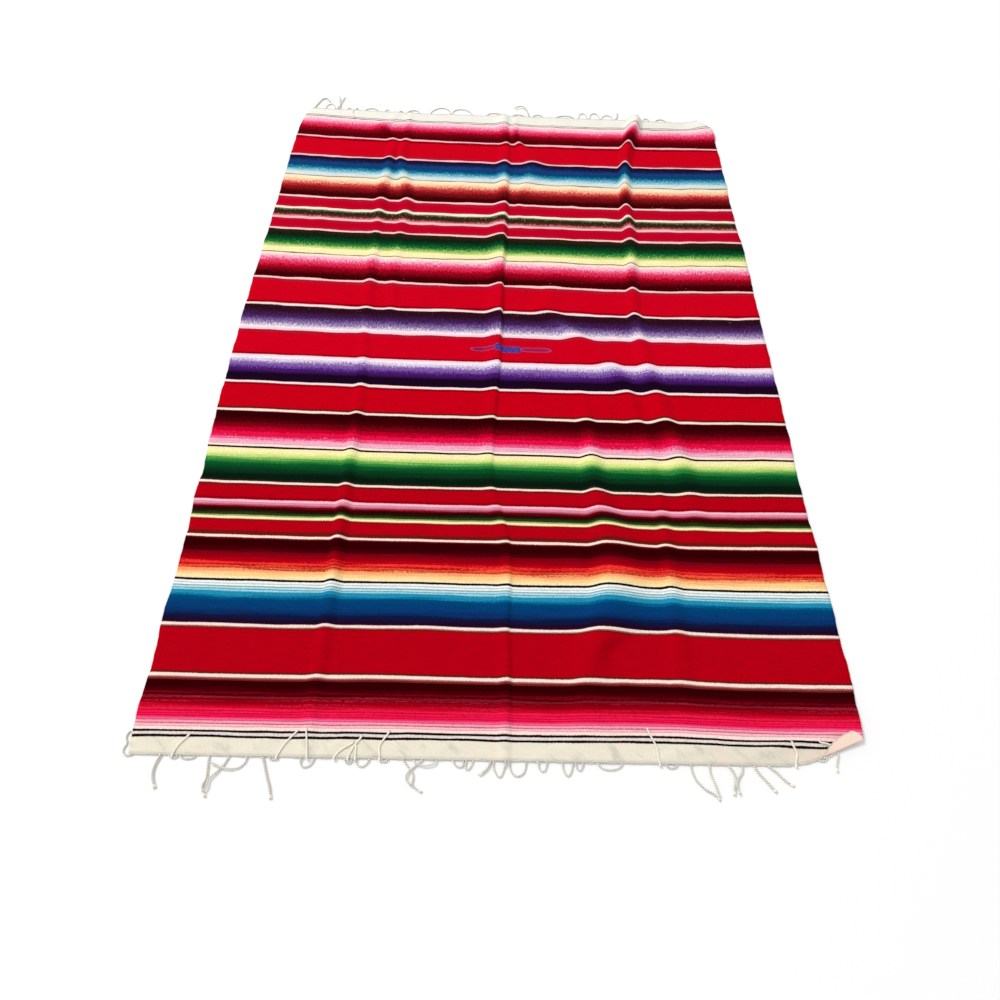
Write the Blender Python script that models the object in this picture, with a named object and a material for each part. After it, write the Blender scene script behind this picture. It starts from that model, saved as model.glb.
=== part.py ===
"""A Mexican serape: a weft-striped blanket lying flat, with a fringe of knotted warp cords at each end.

The row frame has +X across the cloth, +Y towards its far end and +Z up. The origin is on the floor,
under the middle of the cloth. Tables are in millimetres, and MM turns them into metres.
"""
import math
from collections import namedtuple

import bpy
import bmesh
import numpy as np
from mathutils import Vector
from mathutils.bvhtree import BVHTree

MM = 0.001

# The woven web
CLOTH_WALL = 2.4
END_LINE = 1054.5          # each end of the web, from the middle
ROW_PITCH = 56.0           # between cross-sections of the wall
CORNER_ROWS = 975.0        # beyond this, the selvage table's own rows are the cross-sections
GAP = 0.3                  # between neighbouring pieces
END_REACH = 150.0        # how far in from an end the shape of that end is felt

# The fringe
STRIP_DEPTH = 3.0
STRIP_FLOOR = 0.4          # the strip and the cords stay this far above what they lie on
STRIP_TOP = 2.2
CORD_SIDE = 3.0            # side of a cord's square section
CORD_LIE = 2.4             # height of a cord's middle where it lies on the floor
CORD_CROSS = 3.8           # added where a cord lies over another
CORD_STEPS = 8             # along each cord
SETTLE = 8.0               # how far from its root a cord has come down to the floor
HAIRPIN = 2.0              # radius of a cord that turns back over the cloth
HAIRPIN_START = 1.6        # how far out from the strip the turn begins
HAIRPIN_STEPS = 4
ROOT_CLEAR = 2.0           # the strip's other stations are this far from the middle of any root
FALL_SLOPE = 0.9           # how steeply a cord comes down to what it lies on

# Colours, as (red, green, blue)
WEB_RED = (0.62, 0.01, 0.02)
FRINGE_CREAM = (0.82, 0.77, 0.66)

# Plan of the web: how far its two selvages stand from the middle, at each distance along it.
Selvage = namedtuple("Selvage", "y left right")
SELVAGES = [
    Selvage(-1054.5, -683, 600),
    Selvage(-1040, -685, 628),
    Selvage(-1020, -686, 668),
    Selvage(-1013.5, -687, 681.5),
    Selvage(-980, -688, 684),
    Selvage(-800, -692, 689),
    Selvage(-400, -695, 683),
    Selvage(110, -699, 685),
    Selvage(480, -692, 693),
    Selvage(700, -691, 688),
    Selvage(900, -687, 687),
    Selvage(985, -681, 686),
    Selvage(1004, -678, 682),
    Selvage(1020, -675, 668),
    Selvage(1040, -669, 652),
    Selvage(1054.5, -662, 640),
]

# How far each end of the web strays from its line, at each place across it.
EndShift = namedtuple("EndShift", "x near far")
END_SHIFTS = [
    EndShift(-700, 0, 12),
    EndShift(-570, 0, 10),
    EndShift(-340, 0, 0),
    EndShift(430, 0, 1),
    EndShift(530, 0, -2),
    EndShift(567, 5, -3),
    EndShift(600, 16.5, -4),
    EndShift(700, 16.5, -4),
]

# The standing folds, from left to right. Each row is a cross-section of one fold: where its crest is,
# how high it stands, and how far its two feet are from the crest.
Fold = namedtuple("Fold", "y crest height left right")
LEFT_OUTER = [
    Fold(-1055, -362, 2, 24, 24),
    Fold(-900, -362, 7, 24, 26),
    Fold(-795, -360, 8, 22, 28),
    Fold(-595, -360, 12, 22, 26),
    Fold(-450, -360, 9, 22, 24),
    Fold(-150, -360, 7, 24, 24),
    Fold(125, -376, 4, 25, 25),
    Fold(230, -376, 8, 25, 25),
    Fold(440, -380, 5, 25, 20),
    Fold(595, -380, 9, 30, 28),
    Fold(800, -372, 9, 24, 20),
    Fold(910, -375, 6, 22, 20),
    Fold(1055, -372, 4, 22, 22),
]
LEFT_INNER = [
    Fold(-1055, -320, 0, 20, 20),
    Fold(0, -312, 0, 20, 24),
    Fold(125, -312, 2.5, 22, 26),
    Fold(230, -314, 4, 22, 28),
    Fold(440, -311, 5, 24, 26),
    Fold(595, -304, 10, 28, 34),
    Fold(800, -344, 8, 14, 18),
    Fold(910, -331, 6, 16, 20),
    Fold(1055, -330, 4, 16, 18),
]
CENTRE = [
    Fold(-1055, 5, 4, 20, 20),
    Fold(-900, 7, 11, 22, 22),
    Fold(-795, 5, 8, 32, 18),
    Fold(-595, 5, 7, 24, 20),
    Fold(-450, -30, 5, 35, 22),
    Fold(-240, -30, 9, 42, 20),
    Fold(-150, -24, 9, 44, 14),
    Fold(125, -17, 15, 50, 13),
    Fold(230, -16, 14, 44, 15),
    Fold(440, -12, 14, 60, 20),
    Fold(595, -8, 12, 42, 20),
    Fold(800, -8, 11, 38, 26),
    Fold(910, -4, 7, 26, 14),
    Fold(1015, -12, 9, 44, 22),
    Fold(1055, -12, 7, 40, 22),
]
MIDDLE = [
    Fold(-1055, 160, 2, 40, 50),
    Fold(-900, 165, 9, 40, 80),
    Fold(-795, 199, 18, 50, 100),
    Fold(-595, 222, 19, 46, 100),
    Fold(-450, 204, 16, 32, 46),
    Fold(-240, 195, 7, 32, 32),
    Fold(-150, 180, 1, 30, 30),
    Fold(0, 90, 0, 20, 20),
    Fold(125, 55, 0, 16, 16),
    Fold(440, 45, 0, 16, 16),
    Fold(595, 36, 3, 16, 24),
    Fold(700, 62, 6, 30, 50),
    Fold(800, 76, 10, 44, 58),
    Fold(910, 31, 8, 15, 16),
    Fold(1055, 26, 1, 14, 20),
]
SLANT = [
    Fold(-1055, 342, 1, 30, 40),
    Fold(-900, 346, 4, 26, 40),
    Fold(-795, 350, 7, 22, 38),
    Fold(-595, 352, 9, 24, 34),
    Fold(-450, 352, 3, 20, 20),
    Fold(-240, 319, 6, 40, 24),
    Fold(-150, 299, 11, 46, 34),
    Fold(-60, 262, 12, 55, 45),
    Fold(30, 195, 12, 58, 50),
    Fold(125, 132, 8, 54, 48),
    Fold(230, 140, 1, 40, 40),
    Fold(330, 190, 0, 40, 40),
    Fold(1055, 230, 0, 40, 40),
]
RIGHT = [
    Fold(-1055, 430, 0, 36, 40),
    Fold(-600, 430, 1, 36, 44),
    Fold(-450, 421, 7, 36, 50),
    Fold(-240, 386, 14, 44, 42),
    Fold(-150, 374, 10, 36, 40),
    Fold(0, 352, 10, 28, 36),
    Fold(125, 343, 13, 21, 34),
    Fold(230, 348, 12, 21, 26),
    Fold(440, 359, 13, 26, 32),
    Fold(490, 360, 17, 26, 28),
    Fold(595, 357, 19, 21, 30),
    Fold(700, 363, 20, 20, 32),
    Fold(800, 372, 23, 24, 30),
    Fold(905, 392, 28, 31, 29),
    Fold(1015, 424, 28, 34, 20),
    Fold(1055, 430, 21, 34, 24),
]
FOLDS = [LEFT_OUTER, LEFT_INNER, CENTRE, MIDDLE, SLANT, RIGHT]
HIGH_FOLDS = [CENTRE, MIDDLE, RIGHT]
CREST_ROUNDING = 1.15                # above 1, a fold's crest is narrower than its feet are wide
CREST_SPACING = 0.46                 # a foot's columns end short of half the way to the next crest

# Columns of the wall: their distances from a crest as shares of the foot's, and their places across
# the flat cloth between two folds, or between a fold and a selvage, counted from the left.
FOOT_COLUMNS = (1.0, 0.55)
HIGH_COLUMNS = (1.0, 0.62, 0.3)
FLAT_COLUMNS = {0: (0.33, 0.67), 2: (0.33, 0.67), 6: (0.3, 0.6, 0.85)}

# Corners of the web that stand off the floor.
Corner = namedtuple("Corner", "x y height radius")
CORNERS = [
    Corner(690, -1000, 9, 105),
    Corner(690, 1050, 17, 125),
]

# The far right corner is turned under, along a line between these two points of the web's outline.
TURNED_UNDER = ((640, 1052), (682, 1002))
UNDER_REACH = 40.0

# The near right corner is turned up and over, and lies on the web as a triangle.
FLAP_START = (602.0, -1037.2)   # on the near end
FLAP_END = (679.5, -1006.3)     # on the selvage
FLAP_TIP = (643.5, -987.5)
FLAP_STEPS = 5
FLAP_SINK = 1.3                 # how far the flap is sunk into the cloth that it lies on
FOLD_NOSE = 1.2                 # how far the turned cloth stands past its fold line

# Cords that leave the fringe's strip outwards. The root and the tip are places across the cloth, reach
# is how far out they go, bow is a bend to one side, back is the share of the reach that turns back
# (1 brings the cord back to the strip, as a loop), and over is 1 where the cord lies on others.
Cord = namedtuple("Cord", "root tip reach bow back over")
NEAR_CORDS = [
    Cord(-679, -694, -14, -4, -1.14, 0),
    Cord(-622, -617, 64, -11, 0, 0),
    Cord(-608, -594, 10, 0, 1, 0),
    Cord(-588, -562, 12, 0, 1, 0),
    Cord(-536, -534, 60, 1, 0, 0),
    Cord(-500, -528, 74, -7, 0, 0),
    Cord(-469, -523, 36, 0, 0.5, 1),
    Cord(-439, -412, 82, 5, 0, 0),
    Cord(-427, -411, 7, 0, 1, 0),
    Cord(-369, -345, 19, 0, 1, 0),
    Cord(-289, -276, 9, 0, 1, 0),
    Cord(-270, -245, 16, 0, 1, 0),
    Cord(-222, -211, 7, 0, 1, 0),
    Cord(-186, -146, 57, -9, 0, 1),
    Cord(-148, -171, 50, -7, 0, 0),
    Cord(-163, -121, 14, 0, 1, 1),
    Cord(-91, -73, 12, 0, 1, 0),
    Cord(-66, -54, 16, 0, 1, 0),
    Cord(-26, -45, 28, 0, 0, 0),
    Cord(-16, 6, 29, 0, 1, 0),
    Cord(12, 44, 27, 0, 1, 0),
    Cord(66, 82, 18, 0, 1, 0),
    Cord(111, 130, 26, 0, 1, 0),
    Cord(136, 148, 15, 0, 1, 0),
    Cord(176, 220, 14, 0, 1, 0),
    Cord(303, 323, 8, 0, 1, 0),
    Cord(349, 386, 59, -11, 0, 0),
    Cord(384, 400, 69, -4, 0, 0),
    Cord(412, 421, 60, 7, 0, 0),
    Cord(438, 432, 60, -2, 0, 0),
    Cord(468, 503, 53, -4, 0, 0),
    Cord(498, 538, 41, -6, 0, 0),
]
FAR_CORDS = [
    Cord(-652, -604, 80, 0, 0.5, 0),
    Cord(-614, -583, 30, 0, 1, 0),
    Cord(-576, -559, 78, 2, 0, 0),
    Cord(-568, -579, 78, 3, 0, 1),
    Cord(-541, -530, 12, 0, 1, 0),
    Cord(-514, -503, 12, 0, 1, 0),
    Cord(-480, -437, 16, 0, 1, 0),
    Cord(-415, -399, 14, 0, 1, 0),
    Cord(-366, -354, 10, 0, 1, 0),
    Cord(-340, -298, 18, 0, 1, 0),
    Cord(-262, -196, 38, 6, 1, 0),
    Cord(-188, -120, 34, -6, 1, 0),
    Cord(-72, -19, 18, 0, 1, 0),
    Cord(71, 20, 78, 6, 0.42, 1),
    Cord(14, 56, 14, 0, 1, 0),
    Cord(84, 118, 16, 0, 1, 0),
    Cord(163, 223, 16, 0, 1, 0),
    Cord(238, 268, 34, 0, 1, 0),
    Cord(275, 311, 36, 0, 1, 0),
    Cord(317, 354, 28, 0, 1, 0),
    Cord(362, 372, 42, 3, 0, 0),
    Cord(436, 447, 14, 0, 1, 0),
    Cord(457, 478, 16, 0, 1, 0),
    Cord(500, 535, 16, 0, 1, 0),
]

# Cords that turn back and lie on the heading: back is how far in from the end their tip lies.
OverCord = namedtuple("OverCord", "root tip back bow")
NEAR_OVERS = [
    OverCord(-636, -627, 30, -4),
    OverCord(-397, -390, 45, 3),
    OverCord(-357, -366, 45, 3),
    OverCord(-283, -276, 22, 2),
    OverCord(-257, -266, 38, 2),
    OverCord(-231, -219, 47, -7),
    OverCord(291, 274, 60, 4),
    OverCord(548, 550, 50, -3),
]
FAR_OVERS = [
    OverCord(-520, -513, 44, -3),
    OverCord(-348, -324, 40, 4),
]

# The turned corner's own cords. Each has a share of the strip's length where it leaves the strip, whether
# it turns back over the corner, and then its way, as places (x, y).
CornerCord = namedtuple("CornerCord", "share turns_back way")
CORNER_CORDS = [
    CornerCord(0.28, False, [(606, -1016), (600, -1012), (595, -1005), (592, -996)]),
    CornerCord(0.62, True, [(630, -1013), (631, -1021), (630, -1028.5), (629, -1035), (627, -1044),
                            (626, -1054), (624, -1064), (622, -1073)]),
]
CORNER_STRIP_STEPS = 8
CORNER_STRIP_INSET = 3.5        # the strip's ends stop this far short of the flap's corners


def clear_scene():
    for obj in list(bpy.data.objects):
        bpy.data.objects.remove(obj, do_unlink=True)


def column(rows, name):
    return np.array([getattr(row, name) for row in rows], float)


def through(rows, name, at):
    """The value named, on a smooth curve through the rows: each tangent comes from its neighbours."""
    stations = column(rows, "y")
    values = column(rows, name)
    slopes = np.gradient(values, stations)
    at = min(max(at, stations[0]), stations[-1])
    i = min(max(np.searchsorted(stations, at) - 1, 0), len(stations) - 2)
    span = stations[i + 1] - stations[i]
    t = (at - stations[i]) / span
    start = values[i] * (1 + 2 * t) * (1 - t) ** 2 + slopes[i] * span * t * (1 - t) ** 2
    end = values[i + 1] * t * t * (3 - 2 * t) + slopes[i + 1] * span * t * t * (t - 1)
    return start + end


def straight(rows, name, at, key="y"):
    return np.interp(at, column(rows, key), column(rows, name))


def fold_at(fold, y):
    """The crest, height and two foot distances of a fold, at this distance along the web."""
    height = max(0.0, float(through(fold, "height", y)))
    return (
        float(through(fold, "crest", y)),
        height,
        float(straight(fold, "left", y)),
        float(straight(fold, "right", y)),
    )


def lift(x, y):
    """How far the underside of the cloth stands off the floor, in millimetres."""
    height = 0.0
    for fold in FOLDS:
        crest, crest_height, left, right = fold_at(fold, y)
        foot = left if x < crest else right
        share = abs(x - crest) / foot
        if share < 1:
            height += crest_height * (0.5 + 0.5 * math.cos(math.pi * share)) ** CREST_ROUNDING
    for corner in CORNERS:
        share = math.hypot(x - corner.x, y - corner.y) / corner.radius
        if share < 1:
            height += corner.height * (0.5 + 0.5 * math.cos(math.pi * share))
    return height


def row_stations():
    """Distances along the web of its cross-sections: close together by the turned corners."""
    turned = [row.y for row in SELVAGES if abs(row.y) > CORNER_ROWS]
    first = max(y for y in turned if y < 0)
    last = min(y for y in turned if y > 0)
    count = round((last - first) / ROW_PITCH)
    return sorted(set(turned) | set(np.linspace(first, last, count + 1)))


def column_places(y):
    """Places across the web of its wall's points, at one cross-section. They follow the folds."""
    left_edge = float(straight(SELVAGES, "left", y))
    right_edge = float(straight(SELVAGES, "right", y))
    folds = [fold_at(fold, y) for fold in FOLDS]
    crests = [left_edge] + [fold[0] for fold in folds] + [right_edge]
    groups = []
    for i, (crest, _, left, right) in enumerate(folds):
        left = min(left, CREST_SPACING * (crest - crests[i]))
        right = min(right, CREST_SPACING * (crests[i + 2] - crest))
        shares = HIGH_COLUMNS if FOLDS[i] in HIGH_FOLDS else FOOT_COLUMNS
        group = [crest - share * left for share in shares] + [crest]
        groups.append(group + [crest + share * right for share in reversed(shares)])
    groups.append([right_edge])
    places = [left_edge]
    for i, group in enumerate(groups):
        start = places[-1]
        places += [start + (group[0] - start) * share for share in FLAT_COLUMNS.get(i, ())]
        places += group
    return places


def end_pull(y, end):
    """How strongly the shape of one end is felt at this distance along: 1 at the end, 0 in the web."""
    return max(0.0, 1 - (END_LINE - end * y) / END_REACH) ** 2


def plan_y(x, y):
    near = straight(END_SHIFTS, "near", x, key="x") * end_pull(y, -1)
    far = straight(END_SHIFTS, "far", x, key="x") * end_pull(y, 1)
    return y + float(near + far)


def under_layer(x, y):
    """Extra wall below the far right corner, where the cloth is turned under itself."""
    (x0, y0), (x1, y1) = TURNED_UNDER
    along = math.hypot(x1 - x0, y1 - y0)
    inward = ((x - x0) * (y1 - y0) - (y - y0) * (x1 - x0)) / along
    if inward > UNDER_REACH or x < x0 - UNDER_REACH or y < y1 - UNDER_REACH:
        return 0.0
    return CLOTH_WALL


def web_grid():
    """The two faces of the web's wall, as rows of points: the underside, then the upper side."""
    under, upper = [], []
    for y in row_stations():
        xs = column_places(y)
        low = [(x, plan_y(x, y), lift(x, plan_y(x, y))) for x in xs]
        high = []
        for i, (x, real_y, z) in enumerate(low):
            before = low[max(i - 1, 0)]
            after = low[min(i + 1, len(low) - 1)]
            run = after[0] - before[0]
            rise = after[2] - before[2]
            length = math.hypot(run, rise)
            high.append((x - CLOTH_WALL * rise / length, real_y, z + CLOTH_WALL * run / length))
        low = [(x, real_y, max(0.0, z - under_layer(x, real_y))) for x, real_y, z in low]
        under.append(low)
        upper.append(high)
    return under, upper


def material(name, colour, roughness):
    made = bpy.data.materials.new(name)
    made.use_nodes = True
    shader = made.node_tree.nodes["Principled BSDF"]
    shader.inputs["Base Color"].default_value = (*colour, 1)
    shader.inputs["Roughness"].default_value = roughness
    shader.inputs["Metallic"].default_value = 0.0
    return made


def as_object(name, bm, finish):
    bmesh.ops.recalc_face_normals(bm, faces=bm.faces)
    mesh = bpy.data.meshes.new(name)
    bm.to_mesh(mesh)
    bm.free()
    mesh.materials.append(finish)
    mesh.shade_smooth()
    mesh.set_sharp_from_angle(angle=math.radians(40))
    obj = bpy.data.objects.new(name, mesh)
    bpy.context.scene.collection.objects.link(obj)
    return obj


def add_point(bm, point):
    return bm.verts.new(Vector(point) * MM)


def make_web(finish):
    """The whole woven cloth: one wall, with its folds and its turned corners."""
    under, upper = web_grid()
    bm = bmesh.new()
    low = [[add_point(bm, p) for p in row] for row in under]
    high = [[add_point(bm, p) for p in row] for row in upper]
    last_row = len(low) - 1
    last_column = len(low[0]) - 1
    for i in range(last_row):
        for j in range(last_column):
            bm.faces.new((low[i][j], low[i + 1][j], low[i + 1][j + 1], low[i][j + 1]))
            bm.faces.new((high[i][j], high[i][j + 1], high[i + 1][j + 1], high[i + 1][j]))
        for j in (0, last_column):
            bm.faces.new((low[i][j], low[i + 1][j], high[i + 1][j], high[i][j]))
    for j in range(last_column):
        for i in (0, last_row):
            bm.faces.new((low[i][j], low[i][j + 1], high[i][j + 1], high[i][j]))
    web = as_object("web", bm, finish)
    flap = make_flap(finish)
    union = web.modifiers.new("turned_corner", "BOOLEAN")
    union.operation = "UNION"
    union.object = flap
    return web


def make_flap(finish):
    """The corner that is turned over, a triangle that follows the cloth under it."""
    start, end, tip = (np.array(p) for p in (FLAP_START, FLAP_END, FLAP_TIP))
    along = (end - start) / np.linalg.norm(end - start)
    outward = np.array((along[1], -along[0]))
    start = start + outward * FOLD_NOSE
    end = end + outward * FOLD_NOSE
    bm = bmesh.new()
    low, high = {}, {}
    for i in range(FLAP_STEPS + 1):
        for j in range(FLAP_STEPS + 1 - i):
            x, y = start + (end - start) * (j / FLAP_STEPS) + (tip - start) * (i / FLAP_STEPS)
            z = lift(x, y) + CLOTH_WALL
            low[i, j] = add_point(bm, (x, y, z - FLAP_SINK))
            high[i, j] = add_point(bm, (x, y, z + CLOTH_WALL))
    for i in range(FLAP_STEPS):
        for j in range(FLAP_STEPS - i):
            for layer in (low, high):
                bm.faces.new((layer[i, j], layer[i, j + 1], layer[i + 1, j]))
                if j + 1 < FLAP_STEPS - i:
                    bm.faces.new((layer[i, j + 1], layer[i + 1, j + 1], layer[i + 1, j]))
    rim = [(0, j) for j in range(FLAP_STEPS)]
    rim += [(i, FLAP_STEPS - i) for i in range(FLAP_STEPS)]
    rim += [(i, 0) for i in range(FLAP_STEPS, 0, -1)]
    for a, b in zip(rim, rim[1:] + rim[:1]):
        bm.faces.new((low[a], low[b], high[b], high[a]))
    flap = as_object("turned_corner_shape", bm, finish)
    flap.hide_render = True
    flap.display_type = "WIRE"
    return flap


class Edge:
    """One end of the web, as a line that a fringe's strip follows: a place and a height for each x."""

    def __init__(self, row, end):
        self.xs = [point[0] for point in row]
        self.ys = [point[1] for point in row]
        self.zs = [point[2] for point in row]
        self.end = end

    def point(self, x, out, height):
        """The point this far out from the end at x, and this far above the cloth's underside there."""
        y = float(np.interp(x, self.xs, self.ys))
        z = float(np.interp(x, self.xs, self.zs))
        return np.array((x, y + self.end * out, z + height))


class Surface:
    """What a cord can lie on: the web, turned corner and all, or the floor beside it."""

    def __init__(self, web):
        self.tree = BVHTree.FromObject(web, bpy.context.evaluated_depsgraph_get())

    def top(self, x, y):
        """The highest point of the web within a cord's half width of (x, y), in millimetres."""
        half = CORD_SIDE / 2
        highest = 0.0
        for step_x, step_y in ((0, 0), (half, 0), (-half, 0), (0, half), (0, -half)):
            start = Vector((x + step_x, y + step_y, 100.0)) * MM
            hit = self.tree.ray_cast(start, Vector((0, 0, -1)))[0]
            if hit is not None:
                highest = max(highest, hit.z / MM)
        return highest

    def drape(self, start, way):
        """Points over the way, each lying on what is below it, or on its way down to it."""
        points = []
        last = np.array(start, float)
        for x, y in way:
            run = math.hypot(x - last[0], y - last[1])
            below = self.top(x, y)
            rest = below + STRIP_FLOOR + CORD_SIDE / 2 if below else CORD_LIE
            last = np.array((x, y, max(rest, last[2] - FALL_SLOPE * run)))
            points.append(last)
        return points


def hairpin(root, outward):
    """Points of a cord that leaves a strip outwards and turns back above itself."""
    points = []
    for i in range(HAIRPIN_STEPS + 1):
        angle = math.pi * i / HAIRPIN_STEPS
        x, y = root[:2] + outward * (HAIRPIN_START + HAIRPIN * math.sin(angle))
        points.append(np.array((x, y, root[2] + HAIRPIN * (1 - math.cos(angle)))))
    return points


def eased(t):
    t = min(1.0, max(0.0, t))
    return t * t * (3 - 2 * t)


def cord_plan(cord, s):
    """Where a cord is at this share of its length: a place across the cloth, and how far out."""
    share = 0.5 - 0.5 * math.cos(math.pi * s) if cord.back == 1 else s
    x = cord.root + (cord.tip - cord.root) * share + cord.bow * math.sin(math.pi * s)
    return x, cord.reach * (s * (1 - cord.back) + cord.back * math.sin(math.pi * s))


def cord_path(edge, cord):
    """Points along a cord that leaves the strip outwards and lies on the floor."""
    plan = np.array([cord_plan(cord, i / CORD_STEPS) for i in range(CORD_STEPS + 1)])
    runs = np.hypot(*np.diff(plan, axis=0).T)
    travelled = np.concatenate(([0], np.cumsum(runs)))
    if cord.back == 1:
        travelled = np.minimum(travelled, travelled[-1] - travelled)
    lie = CORD_LIE + CORD_CROSS * cord.over
    points = []
    for (x, out), so_far in zip(plan, travelled):
        point = edge.point(x, GAP + STRIP_DEPTH + out, (STRIP_FLOOR + STRIP_TOP) / 2)
        point[2] += (lie - point[2]) * eased(so_far / (SETTLE + point[2]))
        points.append(point)
    return points


def over_path(edge, cord, surface):
    """Points along a cord that turns back in a hairpin and lies on the heading."""
    root_out = GAP + STRIP_DEPTH
    root = edge.point(cord.root, root_out, (STRIP_FLOOR + STRIP_TOP) / 2)
    turn = hairpin(root, np.array((0.0, edge.end)))
    way = []
    for i in range(1, CORD_STEPS + 1):
        s = i / CORD_STEPS
        x = cord.root + (cord.tip - cord.root) * s * s + cord.bow * math.sin(math.pi * s) ** 2
        way.append(edge.point(x, root_out - (cord.back + root_out) * s, 0)[:2])
    return [root] + turn + surface.drape(turn[-1], way)


def corner_lines():
    """The strip of the turned corner's own end: its two ends, and the way out from the flap."""
    start, end, tip = (np.array(p) for p in (FLAP_START, FLAP_END, FLAP_TIP))
    along = (tip - start) / np.linalg.norm(tip - start)
    outward = np.array((-along[1], along[0]))
    return start + along * CORNER_STRIP_INSET, tip - along * CORNER_STRIP_INSET, outward


def add_cord(bm, first, path, last=None):
    """A square cord along the path, from four points on a strip to a tip, or to four more points."""
    path = [np.array(point, float) for point in path]
    side = np.array(first[0].co) - np.array(first[1].co)
    ring = first
    half = CORD_SIDE / 2
    ends = len(path) - 1
    for i in range(1, ends + 1):
        if i == ends and last:
            following = last
        else:
            ahead = path[min(i + 1, ends)] - path[i - 1]
            ahead /= np.linalg.norm(ahead)
            side = side - ahead * side.dot(ahead)
            side /= np.linalg.norm(side)
            up = np.cross(side, ahead)
            corners = ((1, -1), (-1, -1), (-1, 1), (1, 1))
            following = [add_point(bm, path[i] + side * a * half + up * b * half) for a, b in corners]
        for k in range(4):
            bm.faces.new((ring[k], ring[(k + 1) % 4], following[(k + 1) % 4], following[k]))
        ring = following
    if not last:
        bm.faces.new(ring)


def make_strip(bm, stations, outer, is_root):
    """A bar through the stations, open where cords leave it. Returns the openings by their station."""
    bars = []
    for station in stations:
        inner_low, inner_high, outer_low, outer_high = outer(station)
        bars.append([add_point(bm, p) for p in (inner_low, inner_high, outer_low, outer_high)])
    openings = {}
    for i in range(len(bars) - 1):
        a, b = bars[i], bars[i + 1]
        bm.faces.new((a[0], b[0], b[1], a[1]))
        bm.faces.new((a[1], b[1], b[3], a[3]))
        bm.faces.new((a[0], a[2], b[2], b[0]))
        if is_root(stations[i], stations[i + 1]):
            openings[stations[i]] = (a[2], b[2], b[3], a[3])
        else:
            bm.faces.new((a[2], a[3], b[3], b[2]))
    for bar in (bars[0], bars[-1]):
        bm.faces.new((bar[0], bar[1], bar[3], bar[2]))
    return openings


def make_fringe(name, edge, cords, overs, surface, finish):
    """The cords at one end of the web, on the narrow strip that their roots share."""
    half = CORD_SIDE / 2
    roots = [cord.root for cord in cords] + [cord.root for cord in overs]
    roots += [cord.tip for cord in cords if cord.back == 1]
    starts = {root - half for root in roots}
    taken = sorted(starts | {root + half for root in roots})
    free = [x for x in edge.xs if all(abs(x - root) > ROOT_CLEAR for root in roots)]
    stations = sorted(set(taken) | set(free))

    def section(x):
        inner_low = edge.point(x, GAP, STRIP_FLOOR)
        inner_high = edge.point(x, GAP, STRIP_TOP)
        outer_low = edge.point(x, GAP + STRIP_DEPTH, STRIP_FLOOR)
        outer_high = edge.point(x, GAP + STRIP_DEPTH, STRIP_TOP)
        return inner_low, inner_high, outer_low, outer_high

    bm = bmesh.new()
    openings = make_strip(bm, stations, section, lambda a, b: a in starts)

    def ring(root, outgoing):
        low_left, low_right, high_right, high_left = openings[root - half]
        if outgoing == (edge.end > 0):
            return (low_right, low_left, high_left, high_right)
        return (low_left, low_right, high_right, high_left)

    for cord in cords:
        last = ring(cord.tip, False) if cord.back == 1 else None
        add_cord(bm, ring(cord.root, True), cord_path(edge, cord), last)
    for cord in overs:
        add_cord(bm, ring(cord.root, True), over_path(edge, cord, surface))
    return as_object(name, bm, finish)


def make_corner_fringe(surface, finish):
    """The few cords on the end of the turned corner, which lies on top of the web."""
    start, end, outward = corner_lines()
    length = np.linalg.norm(end - start)
    half_share = CORD_SIDE / 2 / length
    starts = {cord.share - half_share for cord in CORNER_CORDS}
    ends = {cord.share + half_share for cord in CORNER_CORDS}
    even = [i / CORNER_STRIP_STEPS for i in range(CORNER_STRIP_STEPS + 1)]
    clear = [s for s in even if all(abs(s - cord.share) * length > ROOT_CLEAR for cord in CORNER_CORDS)]
    stations = sorted(starts | ends | set(clear))

    def section(share):
        places = []
        middle = start + (end - start) * share + outward * (GAP + STRIP_DEPTH / 2)
        base = surface.top(*middle) + STRIP_FLOOR
        for out in (GAP, GAP + STRIP_DEPTH):
            x, y = start + (end - start) * share + outward * out
            places += [(x, y, base), (x, y, base + STRIP_TOP - STRIP_FLOOR)]
        return places

    bm = bmesh.new()
    openings = make_strip(bm, stations, section, lambda a, b: a in starts)
    for cord in CORNER_CORDS:
        low_left, low_right, high_right, high_left = openings[cord.share - half_share]
        first = (low_right, low_left, high_left, high_right)
        root = np.mean([vertex.co for vertex in first], axis=0) / MM
        path = [root]
        if cord.turns_back:
            path += hairpin(root, outward)
        path += surface.drape(path[-1], cord.way)
        add_cord(bm, first, path)
    return as_object("corner_fringe", bm, finish)


def main():
    clear_scene()
    wool = material("serape_wool", WEB_RED, 0.9)
    cotton = material("fringe_cotton", FRINGE_CREAM, 0.85)
    surface = Surface(make_web(wool))
    under, _ = web_grid()
    make_fringe("near_fringe", Edge(under[0], -1), NEAR_CORDS, NEAR_OVERS, surface, cotton)
    make_fringe("far_fringe", Edge(under[-1], 1), FAR_CORDS, FAR_OVERS, surface, cotton)
    make_corner_fringe(surface, cotton)


main()
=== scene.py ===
"""The looks of a Mexican serape that lies flat: its woven stripes, its folds and its knotted fringe.

The frame has +X across the cloth, +Y towards its far end and +Z up, with the origin on the floor under the
middle of the cloth. Tables are in millimetres, and MM turns them into metres.
"""

import math
import random
from collections import namedtuple
from functools import partialmethod

import bpy
import numpy as np
from mathutils import Matrix, Vector
from mathutils.bvhtree import BVHTree

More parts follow.
